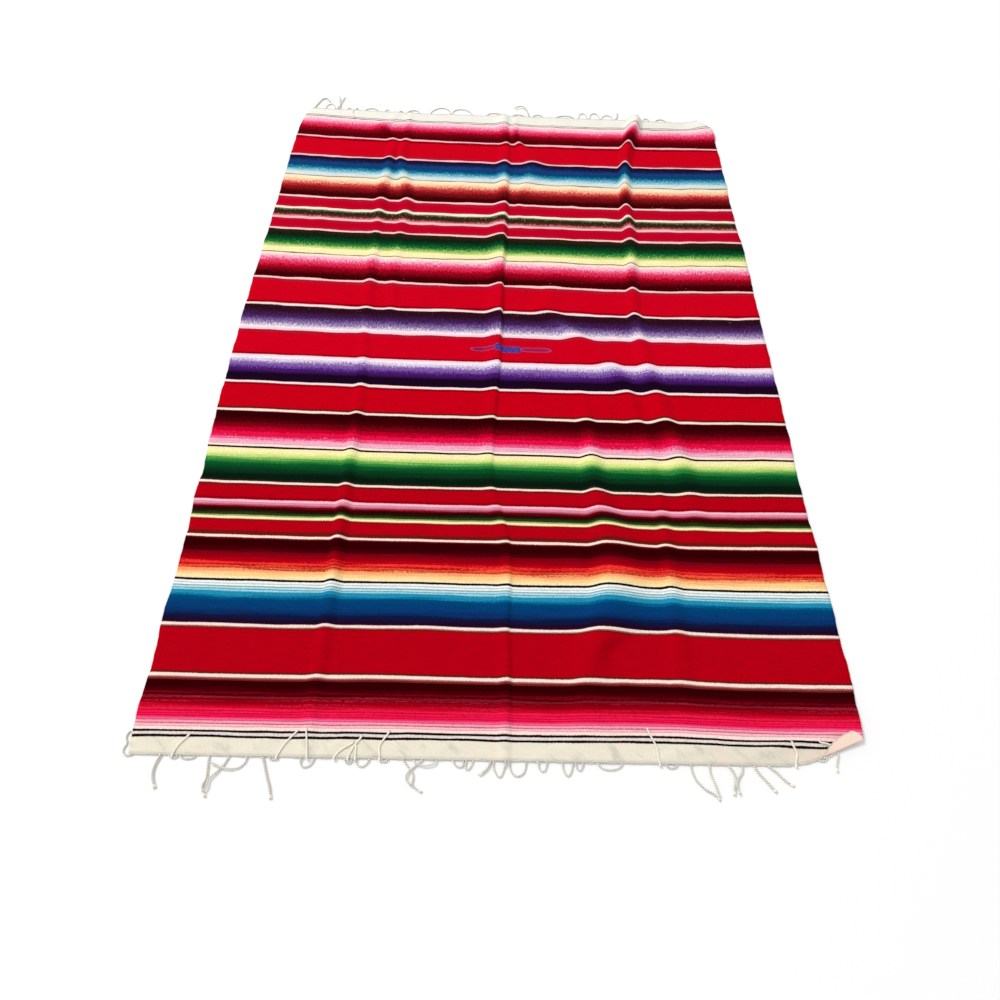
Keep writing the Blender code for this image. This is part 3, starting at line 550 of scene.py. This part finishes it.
def triangle(steps):
    """A triangle's points, as shares of the way to two of its corners, its faces and its outline."""
    places = [(j, i) for i in range(steps + 1) for j in range(steps + 1 - i)]
    number = {place: k for k, place in enumerate(places)}
    faces = []
    for j, i in places:
        right, above, opposite = (j + 1, i), (j, i + 1), (j + 1, i + 1)
        faces += [corners for corners in (((j, i), right, above), (right, opposite, above))
                  if all(corner in number for corner in corners)]
    outline = [(j, 0) for j in range(steps)] + [(steps - i, i) for i in range(steps)]
    outline += [(0, i) for i in range(steps, 0, -1)]
    faces = np.array([[number[corner] for corner in face] for face in faces])
    return np.array(places) / steps, faces, np.array([number[place] for place in outline])


def make_turned(name, start, end, tip, bulges, above, side, material):
    """A turned corner of the cloth, as a thin closed triangle.

    The cloth's own end runs from start to tip, and side is -1 at the near end. above is how far its lower
    face is above the web's."""
    shares, faces, outline = triangle(FLAP_STEPS)
    plan = start + (end - start) * shares[:, :1] + (tip - start) * shares[:, 1:]
    to_end, to_tip = shares.T
    for a, b, other, weight, bulge in ((start, tip, end, to_tip * (1 - to_end - to_tip), bulges[0]),
                                       (tip, end, start, to_end * to_tip, bulges[1])):
        run = unit(b - a)
        out = np.array((-run[1], run[0]))
        out *= -np.sign(out.dot(other - a))
        plan = plan + 4 * bulge * weight[:, None] * out
    if np.cross(end - start, tip - start) < 0:
        faces = faces[:, ::-1]
        outline = outline[::-1]
    along = unit(tip - start)
    from_end = abs(np.cross(along, plan - start))
    woven = side * (1050 - FLAP_CREAM * from_end)
    weave = np.stack((start[0] + (plan - start) @ along, woven, np.zeros(len(plan))), -1)
    lower = np.column_stack((plan, lift(*plan.T) + above))
    builder = Builder()
    low = builder.add(lower, weave)
    high = builder.add(lower + (0, 0, CLOTH_WALL), weave)
    builder.faces += (low + faces[:, ::-1]).tolist() + (high + faces).tolist()
    builder.close(low + outline, high + outline)
    return builder.finish(name, material)


def make_corners(material):
    """The near right corner, which is turned up and over, and the far right one, which is turned under."""
    start, end, tip = FLAP
    along = unit(end - start)
    nose = np.array((along[1], -along[0])) * FOLD_NOSE
    above = CLOTH_WALL + FLAP_LIE
    flap = make_turned("turned_corner", start + nose, end + nose, tip, FLAP_BULGE, above, -1, material)
    below = -CLOTH_WALL - UNDER_LIE
    return flap, make_turned("turned_under_corner", *TURNED_UNDER, (0, 0), below, 1, material)


def frames_along(path):
    """Two directions across a path at each of its points, carried along without turning."""
    ahead = unit(np.gradient(path, axis=0))
    sides = [np.cross(ahead[0], UP)]
    for direction in ahead:
        sides.append(unit(sides[-1] - direction * sides[-1].dot(direction)))
    sides = np.array(sides[1:])
    return sides, np.cross(sides, ahead)


def travel(path):
    """How far along the path each of its points is."""
    return np.concatenate(([0], np.cumsum(np.linalg.norm(np.diff(path, axis=0), axis=1))))


def resample(path, pitch):
    """The path with points this far apart, and how far along it each is."""
    path = np.asarray(path, float)
    travelled = travel(path)
    at = np.linspace(0, travelled[-1], max(3, round(travelled[-1] / pitch) + 1))
    return np.column_stack([np.interp(at, travelled, values) for values in path.T]), at


def softened(path, passes):
    """The path with its corners eased, ends kept."""
    path = np.array(path, float)
    for _ in range(passes):
        path[1:-1] = (path[:-2] + 2 * path[1:-1] + path[2:]) / 4
    return path


def add_tube(builder, path, radius, seed, groove=0.0, sides=CORD_SIDES, pitch=RING_PITCH, turn=TWIST_PITCH,
             taper=1.0, shade=1.0):
    """A tube along the path. A groove makes it two plies twisted together."""
    path, at = resample(path, pitch)
    side, up = frames_along(path)
    at = at[:, None]
    angle = 2 * np.pi * np.arange(sides) / sides
    depth = 0.5 - 0.5 * np.cos(2 * (angle - 2 * np.pi * at / turn))
    width = radius * np.linspace(1, taper, len(path))[:, None] * (1 - groove * depth)
    ring = (path[:, None] + side[:, None] * (width * np.cos(angle))[..., None]
            + up[:, None] * (width * np.sin(angle))[..., None])
    # How much painted shade the cotton material puts in the groove at each point.
    groove_shade = depth * (shade if groove else 0)
    weave = np.stack(np.broadcast_arrays(at, groove_shade / MM, seed / MM), -1)
    number = builder.grid(ring, weave, closed=True)
    builder.faces += [number[0, -2::-1].tolist(), number[-1, :-1].tolist()]


def add_tip(builder, path, radius, seed, rng):
    """The knot near a cord's tip, and its two plies, which part beyond it."""
    tip = path[-1]
    ahead = unit(tip - path[-3])
    side = unit(np.cross(ahead, UP))
    turns = np.linspace(0, KNOT_TURNS * 2 * math.pi, 18)[:, None]
    wound = side * np.cos(turns) + np.cross(side, ahead) * np.sin(turns)
    knot = tip + ahead * (turns / turns[-1] - 0.5) * KNOT_LENGTH + wound * radius * KNOT_GIRTH
    knot[:, 2] = np.maximum(knot[:, 2], radius * KNOT_SHARE + CORD_CLEAR)
    add_tube(builder, knot, radius * KNOT_SHARE, seed, sides=7, pitch=0.9)
    t = np.linspace(0, 1, 7)[:, None]
    for way in (-1, 1):
        length = rng.uniform(3.5, 5.5)
        spread = rng.uniform(0.1, 0.35) * way
        bend = rng.uniform(-0.2, 0.2)
        ply = tip + ahead * length * t + side * (way * 0.3 * radius + length * (spread * t + bend * t * t))
        ply[:, 2:] += (max(radius * PLY_SHARE + CORD_CLEAR, tip[2] - 0.9) - tip[2]) * t
        add_tube(builder, ply, radius * PLY_SHARE, seed, groove=0.25, turn=3.0, sides=7, pitch=0.8, taper=0.7)


class Edge:
    """One end of the web, as a line that the fringe follows."""

    def __init__(self, row, end):
        self.row = row.T
        self.end = end

    def point(self, x, out, height):
        """The point this far out from the end at x, and this far above its underside."""
        y, z = (np.interp(x, self.row[0], values) for values in self.row[1:])
        return np.array((x, y + self.end * out, z + height))


class Surface:
    """What a cord can lie on: the web, turned corner and all, or the floor beside it."""

    def __init__(self, *objects):
        graph = bpy.context.evaluated_depsgraph_get()
        self.trees = [BVHTree.FromObject(obj, graph) for obj in objects]

    def top(self, x, y):
        """The height of the cloth within a cord's half width of (x, y)."""
        heights = [0.0]
        for step_x, step_y in ((0, 0), (1, 0), (-1, 0), (0, 1), (0, -1)):
            start = Vector((x + step_x * CORD_RADIUS, y + step_y * CORD_RADIUS, 100)) * MM
            hits = [tree.ray_cast(start, Vector((0, 0, -1)))[0] for tree in self.trees]
            heights += [hit.z / MM for hit in hits if hit is not None]
        return max(heights)

    def drape(self, start, way, radius):
        """Points over the way, each lying on what is below it, or coming down to it."""
        points = []
        last = start
        for x, y in way:
            run = math.hypot(x - last[0], y - last[1])
            below = self.top(x, y)
            rest = below + radius + 0.1 if below else radius + CORD_CLEAR
            last = np.array((x, y, max(rest, last[2] - FALL_SLOPE * run)))
            points.append(last)
        return points


def eased(t):
    t = np.clip(t, 0, 1)
    return t * t * (3 - 2 * t)


def cord_path(edge, cord, radius, kink):
    """Points along a cord that leaves the strip outwards and lies on the floor."""
    s = np.linspace(0, 1, CORD_STEPS + 1)
    share = 0.5 - 0.5 * np.cos(np.pi * s) if cord.back == 1 else s
    x = cord.root + (cord.tip - cord.root) * share + cord.bow * np.sin(np.pi * s)
    out = cord.reach * (s * (1 - cord.back) + cord.back * np.sin(np.pi * s))
    travelled = travel(np.column_stack((x, out)))
    whole = travelled[-1]
    x += kink * np.sin(travelled / KINK_WAVE + cord.root) * np.minimum(1, travelled / 12)
    if cord.back == 1:
        travelled = np.minimum(travelled, whole - travelled)
        x -= kink * np.sin(whole / KINK_WAVE + cord.root) * s
    lie = radius + CORD_CLEAR + CORD_CROSS * cord.over
    points = np.array([edge.point(*place, STRIP_MIDDLE) for place in zip(x, GAP + STRIP_DEPTH + out)])
    points[:, 2] += (lie - points[:, 2]) * eased(travelled / (SETTLE + points[:, 2]))
    return points


def strand_path(edge, strand):
    """Points along a cord that leaves the strip on a way of its own."""
    root = edge.point(strand.way[0][0], GAP + STRIP_DEPTH, STRIP_MIDDLE)
    plan, _ = resample([root[:2], *strand.way[1:]], WAY_PITCH)
    plan, travelled = resample(softened(plan, 8), WAY_PITCH)
    rise = strand.rise * np.clip(travelled / travelled[-1] * 2 - 0.6, 0, 1)
    drop = strand.radius + CORD_CLEAR - root[2]
    return np.column_stack((plan, root[2] + drop * eased(travelled / SETTLE) + rise))


def over_path(edge, cord, surface):
    """Points along a cord that turns back in a hairpin and lies on the heading."""
    root_out = GAP + STRIP_DEPTH
    root = edge.point(cord.root, root_out, STRIP_MIDDLE)
    turn = [root]
    for angle in np.linspace(0, math.pi, HAIRPIN_STEPS + 1):
        out = HAIRPIN_START + HAIRPIN * math.sin(angle)
        turn.append(root + (0, edge.end * out, HAIRPIN * (1 - math.cos(angle))))
    way = []
    for s in np.arange(1, OVER_STEPS + 1) / OVER_STEPS:
        x = cord.root + (cord.tip - cord.root) * s ** 1.2 + cord.bow * math.sin(math.pi * s) ** 2
        way.append(edge.point(x, root_out - (cord.back + root_out) * s, 0)[:2])
    return softened(turn + surface.drape(turn[-1], way, LOOP_RADIUS), 2)


def make_fringe(name, edge, cords, strands, overs, surface, material):
    """The cords at one end of the web, and the corded edge that their roots share."""
    rng = random.Random(SEED + len(cords))
    builder = Builder()
    strip = []
    for x in np.linspace(edge.row[0, 0] + STRIP_INSET, edge.row[0, -1] - STRIP_INSET, STRIP_POINTS):
        waver = 0.25 * math.sin(x / 3.1) + 0.2 * math.sin(x / 7.7)
        strip.append(edge.point(x, GAP + STRIP_DEPTH / 2 + waver, STRIP_MIDDLE))
    add_tube(builder, strip, STRIP_DEPTH / 2, 0.5, groove=0.42, turn=9.0, sides=8)
    for cord in cords:
        seed = rng.random()
        loop = cord.back == 1
        radius = LOOP_RADIUS if loop else CORD_RADIUS
        path = cord_path(edge, cord, radius, rng.uniform(0.2, 0.8))
        add_cord(builder, path if loop else path[:-TIP_TRIM], radius, seed, None if loop else rng)
    for strand in strands:
        knot_rng = rng if strand.knotted else None
        add_cord(builder, strand_path(edge, strand), strand.radius, rng.random(), knot_rng)
    for cord in overs:
        add_cord(builder, over_path(edge, cord, surface), LOOP_RADIUS, rng.random(), rng, OVER_SHADE)
    return builder.finish(name, material, sharp=80)


def add_cord(builder, path, radius, seed, rng, shade=1.0):
    """A cord, with a tip if it has random numbers for one."""
    add_tube(builder, path, radius, seed, groove=PLY_GROOVE, shade=shade)
    if rng:
        add_tip(builder, path, radius, seed, rng)


def make_corner_fringe(surface, material):
    """The cord on the end of the turned corner, which lies on top of the web."""
    builder = Builder()
    start, _, tip = FLAP
    along = unit(tip - start)
    out = np.array((-along[1], along[0]))
    inset = CORNER_STRIP_INSET * along

    def place(share, beyond):
        """The point this far beyond the turned corner's fringed edge, at this share of its length."""
        bulge = 4 * FLAP_BULGE[0] * share * (1 - share)
        x, y = start + inset + (tip - start - 2 * inset) * share + out * (beyond + bulge)
        return np.array((x, y, surface.top(x, y) + CORNER_STRIP_RADIUS))

    strip = [place(share, GAP + CORNER_STRIP_RADIUS) for share in np.linspace(0, 1, 40)]
    add_tube(builder, softened(strip, 3), CORNER_STRIP_RADIUS, 0.5, groove=0.3, turn=7.5)
    root = place(CORNER_ROOT, GAP + 2 * CORNER_STRIP_RADIUS)
    way, _ = resample([root[:2], *CORNER_WAY], CORNER_WAY_PITCH)
    path = softened([root] + surface.drape(root, softened(way, 4)[1:], LOOP_RADIUS), 2)
    rng = random.Random(SEED)
    add_cord(builder, path, LOOP_RADIUS, rng.random(), rng, OVER_SHADE)
    return builder.finish("corner_fringe_cords", material, sharp=80)


def yarn(name):
    """A yarn's colour as linear light."""
    parts = [int(YARNS[name][k:k + 2], 16) / 255 for k in (0, 2, 4)]
    return (*(p / 12.92 if p <= 0.04045 else ((p + 0.055) / 1.055) ** 2.4 for p in parts), 1.0)


def put(socket, value):
    if isinstance(value, Value):
        socket.id_data.links.new(value.socket, socket)
    else:
        socket.default_value = value


def add_node(tree, kind, inputs, output=0, **settings):
    """Adds a node with these inputs, and returns one of its outputs."""
    node = tree.nodes.new("ShaderNode" + kind)
    for name, value in settings.items():
        setattr(node, name, value)
    for key, value in inputs.items():
        put(node.inputs[key], value)
    return Value(node.outputs[output])


class Value:
    """What a node of a material puts out. Arithmetic with it adds Math nodes."""

    def __init__(self, socket):
        self.socket = socket

    def node(self, kind, inputs, output=0, **settings):
        return add_node(self.socket.id_data, kind, inputs, output, **settings)

    def math(self, operation, *others):
        return self.node("Math", dict(enumerate((self, *others))), operation=operation)

    def rise(self, low, high, start=0, end=1):
        """A smooth change from start to end as the value goes from low to high."""
        inputs = dict(enumerate((self, low, high, start, end)))
        return self.node("MapRange", inputs, interpolation_type="SMOOTHSTEP")

    def noise(self, detail=2, roughness=0.5):
        """Noise from about 0 to 1 at this place."""
        inputs = {"Vector": self, "Scale": 1, "Detail": detail, "Roughness": roughness}
        return self.node("TexNoise", inputs, "Fac")

    def mix(self, a, b):
        """The colour a where this is 0, and b where it is 1."""
        return self.node("Mix", {"Factor": self, "A": a, "B": b}, "Result", data_type="RGBA")

    def tint(self, colour):
        """The colour times this."""
        inputs = {"Factor": 1, "A": colour, "B": vector(self, self, self)}
        return self.node("Mix", inputs, "Result", data_type="RGBA", blend_type="MULTIPLY")

    def ramp(self, stops):
        colour = self.node("ValToRGB", {"Fac": self}, "Color")
        elements = colour.socket.node.color_ramp.elements
        while len(elements) < len(stops):
            elements.new(0.5)
        for element, (place, stop) in zip(elements, stops):
            element.position = place
            element.color = stop
        return colour

    def parts(self):
        """A vector's three numbers, or a colour's."""
        return [Value(output) for output in self.node("SeparateXYZ", {0: self}).socket.node.outputs]


for method, operation in {"add": "ADD", "sub": "SUBTRACT", "mul": "MULTIPLY", "truediv": "DIVIDE",
                          "pow": "POWER", "abs": "ABSOLUTE"}.items():
    setattr(Value, f"__{method}__", partialmethod(Value.math, operation))


def vector(*values):
    return values[0].node("CombineXYZ", dict(enumerate(values)))


def start_material(name):
    """A new material, and a point's place in the weave: three numbers."""
    material = bpy.data.materials.new(name)
    material.use_nodes = True
    return material, add_node(material.node_tree, "Attribute", {}, "Vector", attribute_name="weave").parts()


def set_surface(material, **values):
    for name, value in values.items():
        put(material.node_tree.nodes["Principled BSDF"].inputs[name.replace("_", " ")], value)


def bump(height, strength, distance):
    return height.node("Bump", {"Strength": strength, "Distance": distance, "Height": height}, "Normal")


def stripe_stops(table):
    """The stripes as (distance, colour). Where two shaded ones meet, one blends into the other."""
    stops = []
    start = 0
    for i, stripe in enumerate(table):
        third = (stripe.to - start) / 3
        insets = []
        for neighbour in (table[max(i - 1, 0)], table[min(i + 1, len(table) - 1)]):
            insets.append(third if stripe.shaded and neighbour.shaded else min(SOFT_EDGE, third))
        stops += [(start + insets[0], yarn(stripe.yarn)), (stripe.to - insets[1], yarn(stripe.yarn))]
        start = stripe.to
    return stops


def shading_stops(table):
    """Where shaded stripes lie, as (distance, grey): white inside a run of them, black at its ends."""
    stops = []
    start = 0
    black = (0, 0, 0, 1)
    for stripe, following in zip(table, table[1:]):
        if stripe.shaded and not following.shaded:
            fade = min(SHADING_FADE, (stripe.to - start) / 2)
            grey = (*[fade / SHADING_FADE] * 3, 1)
            stops += [(start, black), (start + fade, grey), (stripe.to - fade, grey), (stripe.to, black)]
        if not stripe.shaded:
            start = stripe.to
    return stops


def chart(stops, distance):
    """The colour this far from the middle of the pattern, through more stops than one ramp can hold."""
    colour = None
    for first in range(0, len(stops) - 1, RAMP_STOPS):
        part = stops[first:first + RAMP_STOPS + 1]
        low, high = part[0][0], part[-1][0]
        share = (distance - low) / (high - low)
        tint = share.ramp([((place - low) / (high - low), value) for place, value in part])
        colour = tint if colour is None else distance.math("GREATER_THAN", low).mix(colour, tint)
    return colour


def weave_relief(across, along):
    """The height of the weft's beads: each rib's are staggered by half a pick from its neighbours'."""
    ribs = across / WARP_PITCH
    odd = abs((ribs + 0.5).math("FLOOR")).math("MODULO", 2)
    picks = along / PICK_PITCH + odd * 0.5
    rib, pick = (abs((count * math.pi).math("COSINE")) for count in (ribs, picks))
    return rib ** 0.6 * pick ** 0.7


def block(across, aside, edges, soft):
    """1 between a block's left and right edges and within its half height, with soft edges."""
    left, right, height = edges
    inside = across.rise(left - 2, left + 2) * across.rise(right + 2, right - 2)
    return inside * aside.rise(height + soft, height - soft)


def motif(colour, across, along, ragged):
    """The woven eye: a solid block, with an outlined lobe on each side of it."""
    across = across + ragged
    aside = abs(along + ragged * 0.5)
    for centre, half_width, half_height in MOTIF_LOBES:
        x = abs((across - centre) / half_width)
        y = aside / half_height
        radius = (x ** 5 + y * y).math("SQRT")
        filled = radius.rise(1.06, 0.9)
        colour = (filled * 0.85).mix(colour, yarn("magenta"))
        colour = (filled * radius.rise(0.6, 0.85) * 0.5).mix(colour, yarn("wisteria"))
    dots = vector(across * 0.45, along * 0.3).noise(1)
    blue = dots.rise(0.5, 0.7).mix(yarn("gentian"), yarn("wisteria"))
    blue = dots.rise(0.48, 0.34).mix(blue, yarn("aubergine"))
    colour = block(across, aside, MOTIF_BLOCK, 1.5).mix(colour, blue)
    hatch = ((across + along) * (2 * math.pi / HATCH_PITCH)).math("COSINE").rise(0, 0.5)
    return (hatch * block(across, aside, MOTIF_HATCH, 1) * 0.9).mix(colour, yarn("aubergine"))


def wool_material():
    """Striped wool weft over cotton warps, with plain cream headings."""
    material, (across, along, _) = start_material("striped_wool")
    across = across * 1000
    along = along * 1000
    near = along.rise(0.5, -0.5)

    def noise(per_mm_across, per_mm_along, detail=2, roughness=0.5):
        """Noise over the cloth that is this fine each way."""
        return vector(across * per_mm_across, along * per_mm_along).noise(detail, roughness)

    # A weft wavers slowly along its way, and its edge is a little ragged from warp to warp.
    waver = (noise(0.009, 0.05) - 0.5) * near.rise(0, 1, 11, 4) + (noise(0.3, 0.5) - 0.5) * 2.4
    woven = along + waver
    plain = abs(woven)

    # In a shaded band the yarns run into each other: in single picks near, and in short streaks far.
    halves = (FAR_STRIPES, NEAR_STRIPES)
    shaded = near.mix(*(chart(shading_stops(half), plain) for half in halves)).parts()[0]
    picks = noise(0.006, 0.27, 1) - 0.5
    specks = noise(0.16, 0.5, 2, 0.6) - 0.5
    streaks = noise(0.24, 0.1, 3, 0.8) - 0.5
    central = along.rise(-480, -150)
    stray_near = (picks * 16 + specks * 12) * along.rise(-940, -920, 0.3, 1)
    stray_near = stray_near + streaks * central.rise(0, 1, 0, 44)
    stray_far = streaks * 64
    stray = stray_far + (stray_near - stray_far) * near
    distance = plain + stray * shaded
    colour = near.mix(*(chart(stripe_stops(half), distance) for half in halves))

    # By the near end a few lone pale picks lie among the dark ones, and show as rows of beads.
    lone = noise(0.004, 0.42, 1).rise(0.54, 0.62) * noise(0.13, 0.42, 2, 0.6).rise(0.4, 0.6)
    lone = lone * shaded * along.rise(-925, -940, 0, 0.36)
    colour = lone.mix(colour, yarn("rouge"))
    colour = motif(colour, across, woven, (noise(0.4, 0.4) - 0.5) * 10)

    relief = weave_relief(across, woven)
    near_heading, far_heading = (plain.rise(start - 0.5, start + 0.5) for start in HEADINGS)
    heading = near * (near_heading - far_heading) + far_heading
    tone = noise(0.02, 0.7, 3, 0.65).rise(0.25, 0.75, 0.86, 1.10)
    tone = tone * noise(0.3, 0.13, 3, 0.8).rise(0.25, 0.75, 0.85, 1.13)
    # Between the weft's beads the colour is darker: painted shade in the weave's hollows.
    tone = tone * relief.rise(0, 0.7, 0.88, 1.03)
    tone = (tone - 1) * heading.rise(0, 1, 1, 0.35) + 1
    colour = tone.tint(colour)

    # The near heading is warmer and greyer towards its right end, and in slanting patches soiled with painted
    # crease shade, or faded.
    warm = across.rise(480, 640) * near * near_heading
    colour = (warm * 0.85).mix(colour, yarn("biscuit"))
    slanting_patches = vector((across + along) * 0.03, (along - across) * 0.011).noise(3, 0.6)
    greyer_rightwards = across.rise(250, 500, 0, 0.13) * across.rise(640, 600)
    # The greying mixes soil with painted shade of the heading's slanting creases.
    soil_and_painted_shade = (slanting_patches.rise(0.5, 0.75, 0, 0.34) + greyer_rightwards) * near_heading * near.rise(0, 1, 0.3, 1)
    colour = soil_and_painted_shade.mix(colour, yarn("stone"))
    flush = slanting_patches.rise(0.48, 0.25, 0, 0.5) * near_heading * near
    colour = flush.mix(colour, yarn("biscuit"))

    height = noise(0.9, 0.9, 3, 0.7) * 0.35 + relief
    set_surface(material, Base_Color=colour, Roughness=relief.rise(0, 0.8, 0.97, 0.84), Specular_IOR_Level=0,
                Sheen_Weight=0.01, Sheen_Roughness=0.45, Normal=bump(height, 0.35, 0.0005))
    return material


def cotton_material():
    """Off-white cotton cord, with painted shade in the groove between its plies, and a little soiled."""
    material, (along, groove, seed) = start_material("cotton_cord")
    along = along * 1000
    patch = vector(along * 0.12, seed, groove).noise()
    # Darker in the groove: painted shade. Darker or paler by cord and in patches: soil.
    tone = groove.rise(0.2, 0.9, 1, 0.4) * seed.rise(0, 1, 0.94, 1.02) * patch.rise(0.2, 0.8, 0.93, 1.04)
    fibres = vector(along * 1.6, groove * 3, seed).noise(3, 0.7)
    set_surface(material, Base_Color=tone.tint(yarn("cotton")), Roughness=0.88, Specular_IOR_Level=0.25,
                Sheen_Weight=0.15, Normal=bump(fibres, 0.5, 0.0004))
    return material


def add_camera():
    camera = bpy.data.cameras.new("camera")
    camera.lens = CAMERA_LENS
    camera.sensor_width = CAMERA_SENSOR
    obj = link(bpy.data.objects.new("camera", camera))
    for angle, axis in CAMERA_TURNS:
        obj.matrix_world = obj.matrix_world @ Matrix.Rotation(angle, 4, axis)
    obj.location = CAMERA_PLACE
    bpy.context.scene.camera = obj


def add_studio():
    """A plain pale floor, a soft key from the far left, and pale light all round."""
    mesh = bpy.data.meshes.new("floor")
    places = [(x * FLOOR_HALF, y * FLOOR_HALF, 0) for x, y in ((-1, -1), (1, -1), (1, 1), (-1, 1))]
    mesh.from_pydata(places, [], [(0, 1, 2, 3)])
    material = bpy.data.materials.new("pale_floor")
    material.use_nodes = True
    set_surface(material, Base_Color=(0.94, 0.94, 0.94, 1), Roughness=0.95, Specular_IOR_Level=0.1)
    mesh.materials.append(material)
    floor = link(bpy.data.objects.new("floor", mesh))
    light = bpy.data.lights.new("key", "AREA")
    light.size = KEY_SIZE
    light.energy = KEY_POWER
    key = link(bpy.data.objects.new("key", light))
    key.location = KEY_PLACE
    key.rotation_euler = (-Vector(KEY_PLACE)).to_track_quat("-Z", "Y").to_euler()
    world = bpy.data.worlds.new("studio")
    world.use_nodes = True
    background = world.node_tree.nodes["Background"].inputs
    background["Color"].default_value = (1.0, 1.0, 1.0, 1)
    background["Strength"].default_value = SKY_STRENGTH
    bpy.context.scene.world = world
    bpy.context.scene.view_settings.view_transform = "Standard"
    return floor


def main():
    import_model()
    add_camera()
    floor = add_studio()

    wool = wool_material()
    cotton = cotton_material()
    under_side, weave = web_grid()
    web = make_web(under_side, weave, wool)
    flap, under = make_corners(wool)
    surface = Surface(web, flap)
    near_edge, far_edge = Edge(under_side[0], -1), Edge(under_side[-1], 1)
    near = make_fringe("near_fringe_cords", near_edge, NEAR_CORDS, NEAR_STRANDS, NEAR_OVERS, surface, cotton)
    far = make_fringe("far_fringe_cords", far_edge, FAR_CORDS, [], FAR_OVERS, surface, cotton)
    corner = make_corner_fringe(surface, cotton)

    for piece in (web, flap, under, near, far, corner):
        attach(piece, "root")
    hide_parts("web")
    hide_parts("near_fringe")
    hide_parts("far_fringe")
    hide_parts("corner_fringe")


main()
